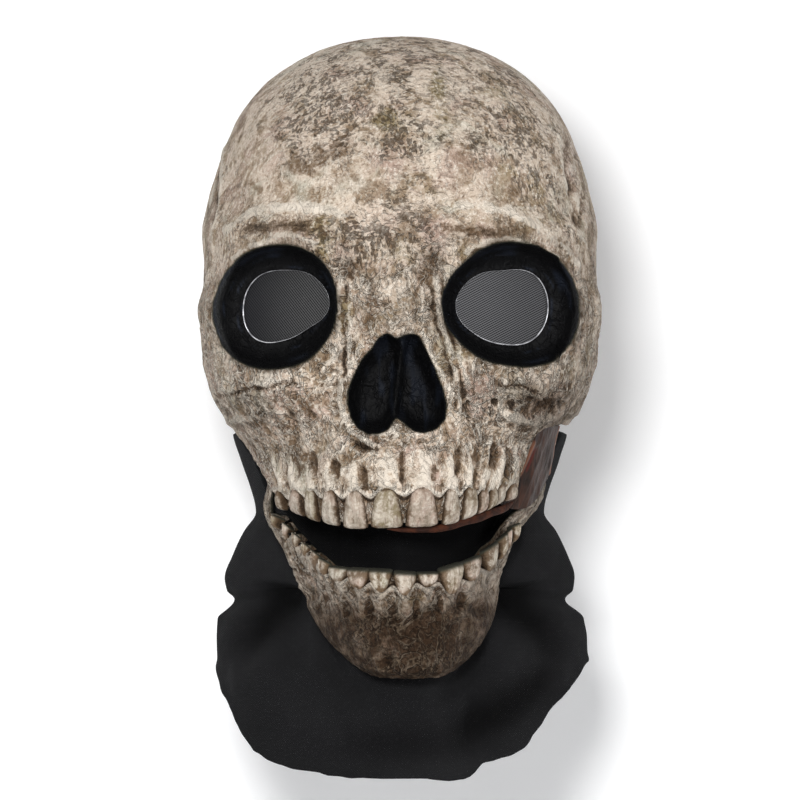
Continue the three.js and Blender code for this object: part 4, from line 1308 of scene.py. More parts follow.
def skull_bone():
    """The skull with its upper gum as one walled mesh, its eye holes cut open."""
    angle, drop = skull_grid()
    radius = skull_radius(angle, drop)
    x, y = radius * np.sin(angle), -radius * np.cos(angle)
    plain = np.stack([x, y, CROWN - drop], -1)
    facing = y < -20
    deep, behind, stroke = recesses(x, y, drop, facing)
    black = black_paint(x, drop) * facing

    front = smooth((-y - 4) / 16)
    low = smooth((drop - 92) / 40)
    head_on = smooth((-normals_of(plain, True)[..., 1] - 0.12) / 0.5)
    carved = carving(x, drop) * smooth((-y + 6) / 16) * (0.6 + 0.4 * head_on)
    roots = gum_relief(x, drop, UPPER_TEETH, -1) * front * smooth((drop - 182) / 8)
    hollow, depth = root_hollows(x, drop)
    carved = carved - depth * front
    skin = uneven(x, y, drop, 0.22 + 0.75 * low * front + 0.1 * (1 - front))
    lip = gum_lip(x, drop, UPPER_TEETH, -1, UPPER_PAPILLA) * front
    rise = carved + lip + roots * (1 - black) + skin * (1 - 0.55 * black) * (1 - 0.5 * (lip < -1))
    plain_outer, outward = plain.copy(), normals_of(plain, True)
    kept = np.arange(drop.shape[0] - 1, -1, -5)[::-1]
    at_side = smooth((np.abs(x) - 61) / 8) * smooth((-y - 30) / 15)
    beside_socket = at_side * smooth((42 - np.abs(drop - 124)) / 12)
    wall_here = SHELL_WALL * (1 - 0.6 * beside_socket)
    plain[..., 1] = behind + 1.2 * beside_socket
    rise = rise + (np.maximum(rise, -0.4) - rise) * beside_socket
    outer = plain_outer + outward * rise[..., None]
    outer[..., 1] += deep - y
    inner = (plain - wall_here[..., None] * normals_of(plain, True))[kept]

    down, around = drop.shape
    points = np.concatenate([outer.reshape(-1, 3), inner.reshape(-1, 3), [[0, 0, CROWN], [0, 0, 0]]])
    first_inner = down * around
    top, bottom = len(points) - 2, len(points) - 1
    faces = grid_faces(0, down, around, True)
    faces += [[top, i, (i + 1) % around] for i in range(around)]
    outer_count = len(faces)
    faces += grid_faces(first_inner, len(kept), around, True, True)
    faces += [[bottom, first_inner + (i + 1) % around, first_inner + i] for i in range(around)]
    last_outer = [(down - 1) * around + i for i in range(around)]
    last_inner = [first_inner + (len(kept) - 1) * around + i for i in range(around)]
    faces += seam_faces(last_outer, last_inner, True)

    values = carved_values(x, y, drop, rise, True)
    paint_skull(values, x, drop, front, facing, lip, roots, hollow)
    values["black"] = black
    values["stroke"] = clamp(stroke)
    obj = finish_mesh("skull_bone", points, faces, {}, bpy.data.materials["bone_paint"])
    obj.data.materials.append(bpy.data.materials["inside_rubber"])
    index = np.zeros(len(obj.data.polygons), np.int32)
    index[outer_count:] = 1
    obj.data.polygons.foreach_set("material_index", index)
    cut_holes(obj)
    carry_values(obj, outer.reshape(-1, 3), values)
    return obj


def hole_outline(socket, grow, count):
    """Points round an eye hole, in its own slanted plane, level with the socket's floor."""
    angle = np.arange(count) / count * 2 * np.pi
    reach = reach_towards(angle, socket["hole_reach"]) + grow
    hx, hd = socket["hole"]
    x = hx + reach * np.cos(angle)
    y = -LENS_REACH + (x - hx) * math.tan(LENS_YAW) * socket["turn"]
    return np.stack([x, y, CROWN - hd + reach * np.sin(angle)], -1)


# How far the cut of an eye hole reaches ahead of the socket's floor and behind it.
CUT_AHEAD = 7
CUT_BEHIND = 9


def cut_holes(obj):
    """Opens the two eye holes through the skull's wall."""
    for socket in SOCKETS:
        count = 96
        outline = hole_outline(socket, 0, count)
        front = outline - [0, CUT_AHEAD, 0]
        back = outline + [0, CUT_BEHIND, 0]
        points = np.concatenate([front, back, [front.mean(0), back.mean(0)]])
        faces = []
        for i in range(count):
            k = (i + 1) % count
            faces += [[k, i, count + i, count + k], [2 * count, i, k], [2 * count + 1, count + k, count + i]]
        cutter = finish_mesh("hole_cutter", points, faces, {}, bpy.data.materials["bone_paint"])
        modifier = obj.modifiers.new("hole", "BOOLEAN")
        modifier.operation = "DIFFERENCE"
        modifier.solver = "MANIFOLD"
        modifier.object = cutter
        bpy.context.view_layer.update()
        made = bpy.data.meshes.new_from_object(obj.evaluated_get(bpy.context.evaluated_depsgraph_get()))
        obj.modifiers.clear()
        obj.data = made
        bpy.data.objects.remove(cutter)


def carry_values(obj, points, values):
    """Gives each point of a cut mesh the values of the nearest point of the grid it was made from."""
    tree = KDTree(len(points))
    for i, point in enumerate(points.tolist()):
        tree.insert(Vector(point) * MM, i)
    tree.balance()
    nearest = [tree.find(v.co)[1] for v in obj.data.vertices]
    for key, value in values.items():
        attribute = obj.data.attributes.new(key, "FLOAT", "POINT")
        attribute.data.foreach_set("value", value.ravel()[nearest].astype(np.float32))
    obj.data.polygons.foreach_set("use_smooth", [True] * len(obj.data.polygons))


jaw_edge = columns(JAW_EDGES, "round", "upper", "lower")
jaw_tuck = column(JAW_PROFILE, "down", "tuck")


def inside_skull(angle, drop, lean):
    """Radius of the skull's inner side, with room for its slant."""
    return skull_radius(angle, drop) - lean * SHELL_WALL


def jaw_radius(angle, drop):
    """Distance from the head axis to the jaw's plain surface."""
    above = JAW_WAIST_DROP - drop
    half_width = JAW_HALF_WIDTH + np.where(above > 0, JAW_FLARE, JAW_TAPER) * above
    drawn_in = 5.2 * smooth((drop - 212) / 18) * smooth((272 - drop) / 26) * smooth((angle - 0.2) / 0.5)
    free = oblong(angle, half_width, CHIN_REACH, ROUNDED) - drawn_in
    room = inside_skull(angle, np.minimum(drop, RIM_DROP), LEAN) - 2 * SEAT_GAP
    right = np.where(drop < RIM_DROP + 3 * SHELL_WALL, np.minimum(free, room), free)
    held = np.minimum(free, inside_skull(angle, drop, LEAN) - 2 * SEAT_GAP)
    let_go = smooth((drop - LEFT_HELD_DROP) / (0.1 * GUM_DROP))
    return np.where(angle < 0, held + (free - held) * let_go, right)


def near_chin(angle):
    """1 at the chin, and 0 at the jaw's sides."""
    return 1 - smooth(np.abs(angle) / JAW_END * 1.4 - 0.3)


def inside_chin(angle, drop):
    """Radius of the jaw's inner side."""
    tucked = jaw_radius(angle, drop) * (1 - CHIN_TUCK * near_chin(angle))
    return tucked - LEAN * JAW_WALL - CHIN_SHIFT * near_chin(angle)


def jaw_point(angle, drop, down):
    """Points of the jaw's plain surface. down is the share from its gum to its lower edge."""
    radius = jaw_radius(angle, drop) * (1 - CHIN_TUCK * jaw_tuck(down) * near_chin(angle))
    shift = CHIN_SHIFT * near_chin(angle) * smooth((drop - GUM_DROP) / (CHIN_DROP - GUM_DROP))
    return np.stack([radius * np.sin(angle) + shift, -radius * np.cos(angle), CROWN - drop], -1)


def paint_jaw(values, x, drop, part, front, lip, roots, hollow, runs, toothed):
    """Adds the paint of the roots, the lower gum's edge and the streaks at the sides, and the painted shade
    that makes the chin dark: darker below the teeth and on the right, less at the chin's lower left.
    """
    values["stain_and_painted_light"] = values["stain_and_painted_light"] + 0.15 + 0.3 * smooth((drop - 255) / 35) + 0.9 * smooth(-lip - 0.6)
    band = root_band(x, drop, LOWER_TEETH, 1) * front
    values["stain_and_painted_light"] = values["stain_and_painted_light"] + band * (0.2 - roots) + 1.1 * hollow * front
    values["cavity"] = values["cavity"] + 0.8 * runs
    edge_light_and_shadow = gum_edge_light_and_shadow(x, drop, LOWER_TEETH, 1, LOWER_PAPILLA)
    values["cavity"] = values["cavity"] + toothed * edge_light_and_shadow * smooth((40 - np.abs(x - 3)) / 6)
    # Painted shade below the teeth and on the right side, with less of it at the lower left of the chin as a
    # painted light.
    below_teeth = 0.75 * smooth((drop - 246) / 30) + 0.3 * smooth(-lip - 0.6)
    chin_painted_light = 0.3 * smooth((drop - 280) / 9) * smooth((-x - 12) / 8)
    values["shade"] = clamp(0.4 + 0.15 * (x > 20) + below_teeth - chin_painted_light)
    values["black"] = 0.3 * toothed * smooth((0.03 - part) / 0.02) + 0 * x
    values["stroke"] = 0 * x


def jaw_bone():
    """The lower jaw with its gum as one walled mesh."""
    around, down, lip_share = 320, 110, 0.14
    angle = JAW_END * np.linspace(-1, 1, around)
    share = np.abs(angle) / JAW_END
    upper = JAW_TOP_DROP + jaw_edge["upper"](share) * (JAW_GUM_DROP - JAW_TOP_DROP)
    lower = JAW_TOP_DROP + jaw_edge["lower"](share) * (CHIN_DROP - JAW_TOP_DROP)
    x_edge = jaw_point(angle, upper, 0 * angle)[..., 0]
    toothed = smooth((58 - np.abs(x_edge + 4)) / 5)
    lower = lower + 0.5 * noise(x_edge, lower, 0 * lower, 6)
    tops = column(LOWER_TEETH, "across", "tip")(x_edge) + 0.4 + 2 * smooth((37 - np.abs(x_edge - 3)) / 5)
    edge = upper + (tops - upper) * toothed + 0.3 * noise(x_edge, upper, 0 * upper, 3)
    plain_lip = edge + lip_share * (lower - edge)
    lip_at = plain_lip + (gum_edge(x_edge, LOWER_TEETH, 1, LOWER_PAPILLA) - plain_lip) * toothed
    part = np.linspace(0, 1, down)[:, None]
    drop = np.where(part < lip_share, edge + (lip_at - edge) * part / lip_share,
                    lip_at + (lower - lip_at) * (part - lip_share) / (1 - lip_share))
    angles = np.broadcast_to(angle, drop.shape)
    nominal = clamp((drop - upper) / (lower - upper))
    plain = jaw_point(angles, drop, nominal)
    x, y = plain[..., 0], plain[..., 1]
    outward = normals_of(plain, False)
    front = smooth((-y - 30) / 30)
    roots = gum_relief(x, drop, LOWER_TEETH, 1) * front * smooth((284 - drop) / 12)
    from_top, from_foot = part * (lower - upper), (1 - part) * (lower - upper)
    edge_dip = -0.8 * np.exp(-((from_top / 1.6) ** 2)) - 0.8 * np.exp(-((from_foot / 2) ** 2))
    ramus = 0.9 * np.exp(-((((drop - upper) - 0.35 * (lower - upper)) / 4) ** 2)) * (1 - front)
    run = noise(from_top / 1.3, 7 * angles, 0 * x, 1)
    run = run + 0.6 * noise(from_top / 0.7, 9 * angles, 3 + 0 * x, 1)
    streaked = 0.35 + 0.65 * smooth((np.abs(angles) - 0.5) / 0.3)
    skin = uneven(x, y, drop, 0.42) * (1 - 0.4 * streaked) + 0.45 * run * streaked
    lip = 1.25 * gum_lip(x, drop, LOWER_TEETH, 1, LOWER_PAPILLA) * toothed
    hollow, depth = root_hollows(x, drop)
    rise = carving(x, drop) - depth * front + roots + lip + edge_dip + ramus + skin * (1 - 0.5 * (lip < -1))
    outer = plain + outward * rise[..., None]
    kept = np.unique(np.concatenate([np.arange(0, down, 4), [down - 1]]))
    inner = (plain - JAW_WALL * outward)[kept]

    points = np.concatenate([outer.reshape(-1, 3), inner.reshape(-1, 3)])
    first = down * around
    rows_in = len(kept)
    faces = grid_faces(0, down, around, False) + grid_faces(first, rows_in, around, False, True)
    faces += seam_faces([(down - 1) * around + i for i in range(around)],
                        [first + (rows_in - 1) * around + i for i in range(around)], False)
    faces += seam_faces(list(range(around)), [first + i for i in range(around)], False, True)
    for side, flip in ((0, False), (around - 1, True)):
        outer_side = [j * around + side for j in range(down)]
        inner_side = [first + j * around + side for j in range(rows_in)]
        for a, b in zip(range(rows_in - 1), range(1, rows_in)):
            strip = outer_side[kept[a]:kept[b] + 1] + [inner_side[b], inner_side[a]]
            faces.append(strip if flip else strip[::-1])

    values = carved_values(x, y, drop, rise, False, 40)
    paint_jaw(values, x, drop, part, front, lip, roots, hollow, run * streaked, toothed)
    inner_values = {key: value[kept] for key, value in values.items()}
    inner_values["black"] = np.ones_like(inner_values["black"])
    joined = {key: np.concatenate([values[key].ravel(), inner_values[key].ravel()]) for key in values}
    return finish_mesh("jaw_bone", points, faces, joined, bpy.data.materials["bone_paint"])


TOOTH_SHAPES = {
    "upper": rows(
        "along wide deep ahead",
        (0, 0.5, 0.8, -1),
        (0.14, 0.6, 0.95, -0.5),
        (0.3, 0.74, 1, -0.05),
        (0.55, 0.88, 0.95, 0.25),
        (0.8, 0.98, 0.8, 0.2),
        (0.93, 0.98, 0.62, -0.05),
        (0.985, 0.86, 0.42, -0.4),
        (1, 0.62, 0.2, -0.8),
    ),
    "lower": rows(
        "along wide deep ahead",
        (0, 0.16, 0.4, -0.6),
        (0.12, 0.42, 0.7, 0),
        (0.35, 0.72, 0.92, 0.6),
        (0.62, 0.95, 1, 0.9),
        (0.8, 1.03, 1, 0.8),
        (0.91, 1.03, 0.9, 0.3),
        (0.975, 0.98, 0.65, -0.6),
        (1, 0.8, 0.3, -1.5),
    ),
}


def arch_place(points, across):
    """Where a row of teeth's arch is this far across, and how far it is turned there."""
    x, y = points[:, 0], points[:, 1]
    order = np.argsort(x)
    at = np.interp(across, x[order], y[order])
    step = 0.5
    slope = (np.interp(across + step, x[order], y[order]) - at) / step
    return at, math.atan(slope)


def tooth_row(name, teeth, shape, arch, root, material, seed):
    """A row of teeth as one mesh, each lofted from its root in the gum to its tip."""
    wide, deep, ahead = [column(TOOTH_SHAPES[shape], "along", key) for key in ("wide", "deep", "ahead")]
    corners, levels = 40, 26
    tip_line = column(teeth, "across", "tip")
    points, faces, values = [], [], {}
    along = np.linspace(0, 1, levels) ** 0.85
    angle = np.arange(corners) / corners * 2 * np.pi
    for k, row in enumerate(teeth):
        y0, turn = arch_place(arch, row["across"])
        stretch = 1 / max(0.6, math.cos(turn))
        half = row["width"] / 2 * 1.02 * stretch
        start = row["gum"] + root * (1 if shape == "lower" else -1)
        drop = start + (row["tip"] - start) * along
        slope = (tip_line(row["across"] + 1) - tip_line(row["across"] - 1)) / 2
        c, s = np.cos(angle), np.sin(angle)
        side = np.sign(c) * np.abs(c) ** (2 / TOOTH_SQUARE)
        out = np.sign(s) * np.abs(s) ** (2 / TOOTH_SQUARE)
        front = clamp(out)
        w = half * wide(along)[:, None] * side
        grooves = 0.22 * np.cos(side * 7.5 + k)[None, :] * smooth(along * 2 - 0.6)[:, None]
        flute = -0.28 * np.exp(-((side[None, :] / 0.16) ** 2)) * (1 if row["width"] > 9 else 0.2)
        relief = ahead(along)[:, None] + front * (grooves + flute)
        uneven_row = 0.3 * noise(np.array([k * 3.7 + seed]), np.array([0.5]), np.array([0.5]), 1)[0]
        depth = TOOTH_DEPTH / 2 * deep(along)[:, None] * out + relief + uneven_row
        bumps = 0.12 * noise(w + 9 * k, depth, drop[:, None] + 0 * w, 1.6)
        depth = depth + bumps * np.sign(out)
        centre = y0 + TOOTH_DEPTH * 0.46
        x = row["across"] + w * math.cos(turn) + depth * math.sin(turn)
        y = centre + w * math.sin(turn) - depth * math.cos(turn)
        slant = np.clip(slope, -0.8, 0.8) * (x - row["across"]) * smooth(along * 1.6 - 0.5)[:, None]
        z = CROWN - drop[:, None] - slant
        base = len(points)
        points += np.stack([x, y, z], -1).reshape(-1, 3).tolist()
        top, end = base + levels * corners, base + levels * corners + 1
        points += [[x[0].mean(), y[0].mean(), z[0].mean()], [x[-1].mean(), y[-1].mean(), z[-1].mean()]]
        flip = shape == "upper"
        faces += grid_faces(base, levels, corners, True, not flip)
        last = base + (levels - 1) * corners
        for i in range(corners):
            j = (i + 1) % corners
            first_cap = [top, base + i, base + j]
            last_cap = [end, last + j, last + i]
            faces += [first_cap if flip else first_cap[::-1], last_cap if flip else last_cap[::-1]]
        # Painted shade on the teeth, with some brown stain: darker at their sides where they meet, near the
        # gum, on their backs and, on the lower row, over their tops.
        gap = np.abs(side)[None, :] ** 6 + 0 * w
        near_gum = smooth(1 - np.abs(drop[:, None] - row["gum"]) / 2.5) + 0 * w
        cracks = smooth(noise(side[None, :] * 3.4 + 7 * k, drop[:, None] / 6 + 0 * w, 0 * w + k, 1) * 3 - 1.2)
        cavity = (0.45 * (1 - gap) + 1.2 * (grooves + flute) - 0.7 * cracks) * front
        cavity = cavity - 1.1 * gap - 0.6 * near_gum
        top_painted_shade = smooth((along[:, None] - 0.7) / 0.22) * (1 if shape == "lower" else 0) + 0 * w
        stain_and_painted_light = 0.55 * noise(x + 11, y, z, 4) + 0.6 * gap + 0.6 * near_gum + (0.3 if shape == "lower" else 0)
        made = {
            "cavity": cavity,
            "stain_and_painted_light": stain_and_painted_light,
            "speck": 0.15,
            "vein": 0.05,
            "tint": 0.55 * math.sin(2.3 * k + seed),
            "black": 0.5 * top_painted_shade,
            "stroke": 0.8,
            "shade": (0.14 if shape == "lower" else 0.28) + 0.3 * gap + 0.45 * smooth(0.3 - front),
        }
        for key, value in made.items():
            values.setdefault(key, []).extend(np.broadcast_to(value, w.shape).ravel().tolist() + [0, 0])
    return finish_mesh(name, points, faces, values, bpy.data.materials[material])


def upper_teeth():
    """The upper row, along the skull's lower edge."""
    angle = np.linspace(-1.2, 1.2, 400)
    radius = skull_radius(angle, np.full(400, float(GUM_DROP)))
    arch = np.stack([radius * np.sin(angle), -radius * np.cos(angle)], -1)
    return tooth_row("upper_teeth", UPPER_TEETH, "upper", arch, 2.2, "tooth_paint", 3)


def lower_teeth():
    """The lower row, along the jaw's upper edge."""
    angle = JAW_END * np.linspace(-1, 1, 400)
    upper = JAW_TOP_DROP + jaw_edge["upper"](np.abs(angle) / JAW_END) * (JAW_GUM_DROP - JAW_TOP_DROP)
    arch = jaw_point(angle, upper, 0 * angle)[:, :2]
    return tooth_row("lower_teeth", LOWER_TEETH, "lower", arch, 1.5, "tooth_paint", 8)


PALATE_EDGE = rows(
    "across drop half",
    (-6, 226.6, 0.3),
    (2, 227, 1.2),
    (13, 226.8, 1.5),
    (28.5, 222.8, 2.3),
    (40, 219.8, 2),
    (49, 216.2, 1.8),
    (52, 214, 0.4),
)


def palate_edge():
    """The dark red-brown edge of the palate that shows below the upper right teeth."""
    count, corners = 90, 14
    across = np.linspace(-6, 52, count)
    drop = column(PALATE_EDGE, "across", "drop")(across) + 0.4 * noise(across, 0 * across, 0 * across, 6)
    half = column(PALATE_EDGE, "across", "half")(across)
    angle = np.linspace(-1.2, 1.2, 400)
    radius = skull_radius(angle, np.full(400, float(GUM_DROP)))
    y = np.interp(across, radius * np.sin(angle), -radius * np.cos(angle)) + 6.5
    turn = np.arange(corners) / corners * 2 * np.pi
    x = np.broadcast_to(across[:, None], (count, corners))
    z = CROWN - drop[:, None] + half[:, None] * np.sin(turn)
    deep = y[:, None] + 2.2 * np.cos(turn)
    points = np.stack([x, deep, z], -1).reshape(-1, 3).tolist()
    faces = grid_faces(0, count, corners, True, True)
    faces.append(list(range(corners))[::-1])
    faces.append([(count - 1) * corners + i for i in range(corners)])
    return finish_mesh("palate_edge", points, faces, {}, bpy.data.materials["palate_paint"])


def sheet_mesh(name, outer, inner, closed, values, material):
    """A walled sheet from an outer and an inner grid of the same size."""
    down, around = outer.shape[:2]
    points = np.concatenate([outer.reshape(-1, 3), inner.reshape(-1, 3)])
    first = down * around
    faces = grid_faces(0, down, around, closed) + grid_faces(first, down, around, closed, True)
    last = (down - 1) * around
    faces += seam_faces([last + i for i in range(around)], [first + last + i for i in range(around)], closed)
    faces += seam_faces(list(range(around)), [first + i for i in range(around)], closed, True)
    if not closed:
        for side, flip in ((0, False), (around - 1, True)):
            out_side = [j * around + side for j in range(down)]
            in_side = [first + j for j in out_side]
            faces += seam_faces(out_side, in_side, False, flip)
    both = {key: np.concatenate([value.ravel(), value.ravel()]) for key, value in values.items()}
    return finish_mesh(name, points, faces, both, bpy.data.materials[material])


WEB_EDGE = rows("across bottom", (0, 214), (0.3, 217.5), (0.55, 214), (0.8, 207.5), (1, 201))


def cheek_web(name, side):
    """Ribbed leathery rubber from the cheekbone to the jaw. side is 1 on the right, where it shows."""
    down, around = 120, 120
    across = np.linspace(0, 1, around)[None, :] * np.ones((down, 1))
    v = np.linspace(0, 1, down)[:, None] * np.ones((1, around))
    if side < 0:
        across = across[:, ::-1]
        degrees = WEB_DEGREES["front"] + (WEB_DEGREES["back"] - WEB_DEGREES["front"]) * across
        top = GUM_DROP * WEB_SHARES["top"]
        bottom = GUM_DROP * WEB_SHARES["front"] - 4 * across
    else:
        degrees = 31 + 38 * across
        top = 171 + 8.2 * smooth((across - 0.1) / 0.2)
        bottom = column(WEB_EDGE, "across", "bottom")(across)
    angle = side * np.radians(degrees)
    drop = top + (bottom - top) * v
    in_jaw = jaw_radius(angle, drop) - UPRIGHT * JAW_WALL
    radius = np.minimum(inside_skull(angle, drop, UPRIGHT), in_jaw) - 1.6
    if side > 0:
        free = oblong(angle, JAW_HALF_WIDTH + JAW_FLARE * (JAW_WAIST_DROP - drop), CHIN_REACH, ROUNDED)
        shown = np.maximum(free, jaw_radius(angle, drop)) + 1.9
        behind = inside_skull(angle, drop, LEAN) - 1.4
        out = smooth((degrees - 36) / 12)
        radius = behind + (shown - behind) * out
    plain = np.stack([radius * np.sin(angle), -radius * np.cos(angle), CROWN - drop], -1)
    outward = normals_of(plain, False)
    x, y = plain[..., 0], plain[..., 1]
    lean = x + 0.42 * (drop - 180)
    ribs = np.exp(-((((lean / 3.1) % 1) - 0.5) / 0.2) ** 2)
    grain = noise(x + 0.4 * drop, y, 0.25 * drop, 2.2)
    slot = np.exp(-(((lean - 66.5) / 1.0) ** 2)) * smooth((drop - 187) / 4) * smooth((203 - drop) / 5)
    strip = np.exp(-(((lean - 63.4) / 1.7) ** 2)) * smooth((drop - 184) / 4) * smooth((206 - drop) / 6)
    rise = 0.35 * ribs + 0.4 * grain - 1.2 * slot + 0.9 * strip
    strip = np.maximum(strip, 1.2 * smooth((across - 0.94) / 0.04))
    outer = plain + outward * rise[..., None]
    inner = plain - 1.5 * outward
    return sheet_mesh(name, outer, inner, False, {"slot": slot, "strip": strip}, "muscle_rubber")


LENS_WALL = 0.8
LENS_BULGE = 1.4
LENS_BEHIND = 2.2


def eye_lens(name, socket):
    """The fine dark mesh behind an eye hole."""
    count, rings = 96, 8
    flange = hole_outline(socket, LENS_FLANGE - LENS_WALL, count) + [0, SEAT_GAP + LENS_BEHIND, 0]
    centre = flange.mean(0)
    points = []
    for back in (0, LENS_WALL):
        for ring in range(1, rings + 1):
            at = centre + (flange - centre) * ring / rings
            bulge = LENS_BULGE * (1 - (ring / rings) ** 2)
            points += (at + [0, back - bulge, 0]).tolist()
    middle = len(points)
    points += [(centre + [0, back - LENS_BULGE, 0]).tolist() for back in (0, LENS_WALL)]
    faces = []
    first = rings * count
    for i in range(count):
        k = (i + 1) % count
        faces += [[middle, k, i], [middle + 1, first + i, first + k]]
    for ring in range(rings - 1):
        for i in range(count):
            k = (i + 1) % count
            a, b = ring * count, (ring + 1) * count
            faces.append([a + i, a + k, b + k, b + i])
            faces.append([first + b + i, first + b + k, first + a + k, first + a + i])
    a = (rings - 1) * count
    for i in range(count):
        k = (i + 1) % count
        faces.append([a + i, a + k, first + a + k, first + a + i])
    return finish_mesh(name, points, faces, {}, bpy.data.materials["gauze_" + socket["side"]])


def lens_rim(name, socket, strong):
    """A thin pale ring at the edge of an eye hole, a painted highlight where the cut edge catches the light.
    strong gives its reach for each of eight directions.
    """
    count, corners = 120, 10
    path = hole_outline(socket, -0.25, count) + [0, 0.7, 0]
    angle = np.arange(count) / count * 2 * np.pi
    thick = 0.04 + 0.38 * clamp(reach_towards(angle, strong))
    ahead = np.roll(path, -1, 0) - np.roll(path, 1, 0)
    ahead /= np.linalg.norm(ahead, axis=1, keepdims=True)
    across = np.cross(ahead, [0, 1, 0])
    across /= np.linalg.norm(across, axis=1, keepdims=True)
    deep = np.cross(ahead, across)
    turn = np.arange(corners) / corners * 2 * np.pi
    ring = across[:, None] * np.cos(turn)[None, :, None] + deep[:, None] * np.sin(turn)[None, :, None]
    points = (path[:, None] + ring * thick[:, None, None]).reshape(-1, 3).tolist()
    last = (count - 1) * corners
    faces = grid_faces(0, count, corners, True)
    faces += seam_faces(list(range(last, last + corners)), list(range(corners)), True)
    return finish_mesh(name, points, faces, {}, bpy.data.materials["silver_rim"])


hood_curves = columns(HOOD_SECTIONS, "drop", "width", "front", "back", "square")
hem_shape = column(HEM_SHAPE, "turn", "below")


def hood_surface(turn, share, wall):
    """Points of the hood's cloth, at wall inside its outer face."""
    bearing = np.radians(turn)
    ahead = 1 - smooth((np.abs(turn) - 35) / 40)
    top = HOOD_SIDE_TOP_DROP + (HOOD_FRONT_TOP_DROP - HOOD_SIDE_TOP_DROP) * ahead
    hem = CHIN_DROP + HEM_BELOW_CHIN * hem_shape(turn)
    hem = hem + 0.5 * noise(turn / 3, 0 * turn, 0 * turn, 1)
    drop = np.where(share < CREASE_SHARE, top + (CREASE_DROP - top) * share / CREASE_SHARE,
                    CREASE_DROP + (hem - CREASE_DROP) * (share - CREASE_SHARE) / (1 - CREASE_SHARE))
    level = drop / CREASE_DROP
    front = HOOD_FRONT_REACH * hood_curves["front"](level)
    back = HOOD_BACK_REACH * hood_curves["back"](level)
    reach = np.where(np.cos(bearing) > 0, front, back)
    half_width = HOOD_HALF_WIDTH * hood_curves["width"](level)
    square = np.where(np.cos(bearing) > 0, hood_curves["square"](level), 2.1)
    radius = oblong(bearing, half_width, reach, square)
    for fold in HOOD_FOLDS:
        wave = np.sin(fold["count"] * bearing + fold["phase"])
        radius = radius + fold["depth"] * wave * smooth((level - 1) / 0.12)
    x, y = radius * np.sin(bearing), NECK_BACK - radius * np.cos(bearing)
    seen = np.arctan2(x, -y)
    here = np.hypot(x, y)
    behind = smooth((np.abs(np.degrees(seen)) - 88) / 8)
    skull_here = 1 - smooth((drop / RIM_DROP - 1.035 + 0.03 * behind) / (0.045 - 0.022 * behind))
    along_jaw = np.minimum(np.abs(seen), JAW_END) / JAW_END
    lower = JAW_TOP_DROP + jaw_edge["lower"](along_jaw) * (CHIN_DROP - JAW_TOP_DROP)
    jaw_here = (np.abs(seen) < 1.08 * JAW_END) * smooth((1.06 - drop / lower) / 0.05)
    slack = HOOD_SLACK + wall
    in_skull = skull_here * np.maximum(0, here - inside_skull(seen, drop, LEAN) + slack)
    jaw_room = inside_chin(np.clip(seen, -JAW_END, JAW_END), drop)
    in_jaw = jaw_here * np.maximum(0, here - jaw_room + slack)
    kept = 1 - np.maximum(in_skull, in_jaw) / here
    return np.stack([x * kept, y * kept, CROWN - drop], -1), drop


# Soft folds of the loose cloth, seen from the front.
CLOTH_FOLDS = rows(
    "rise wide line",
    (1.6, 2.6, ((-78, 244), (-66, 248), (-54, 250.5), (-44, 252))),
    (1.6, 2.6, ((80, 243), (68, 246.5), (58, 250), (46, 253))),
    (-1.5, 3.5, ((-77, 250), (-64, 254), (-50, 257))),
    (-1.5, 3.5, ((79, 249), (66, 253), (52, 257))),
    (-2.6, 9, ((-75, 279), (-64, 269), (-52, 258))),
    (-2.6, 9, ((48, 256), (64, 268), (78, 281))),
    (-2.2, 8, ((64, 299), (49, 308), (32, 318))),
    (-1.6, 7, ((-24, 322), (-8, 325), (14, 324))),
    (0.5, 8, ((-58, 300), (-44, 312), (-26, 318))),
    (1.4, 4, ((-82, 270), (-79, 284), (-74, 300))),
    (1.4, 4, ((82, 268), (80, 282), (74, 298))),
    (0.4, 5, ((20, 300), (24, 318), (27, 333))),
    (-1.2, 3, ((33, 304), (34, 318), (36, 326))),
)


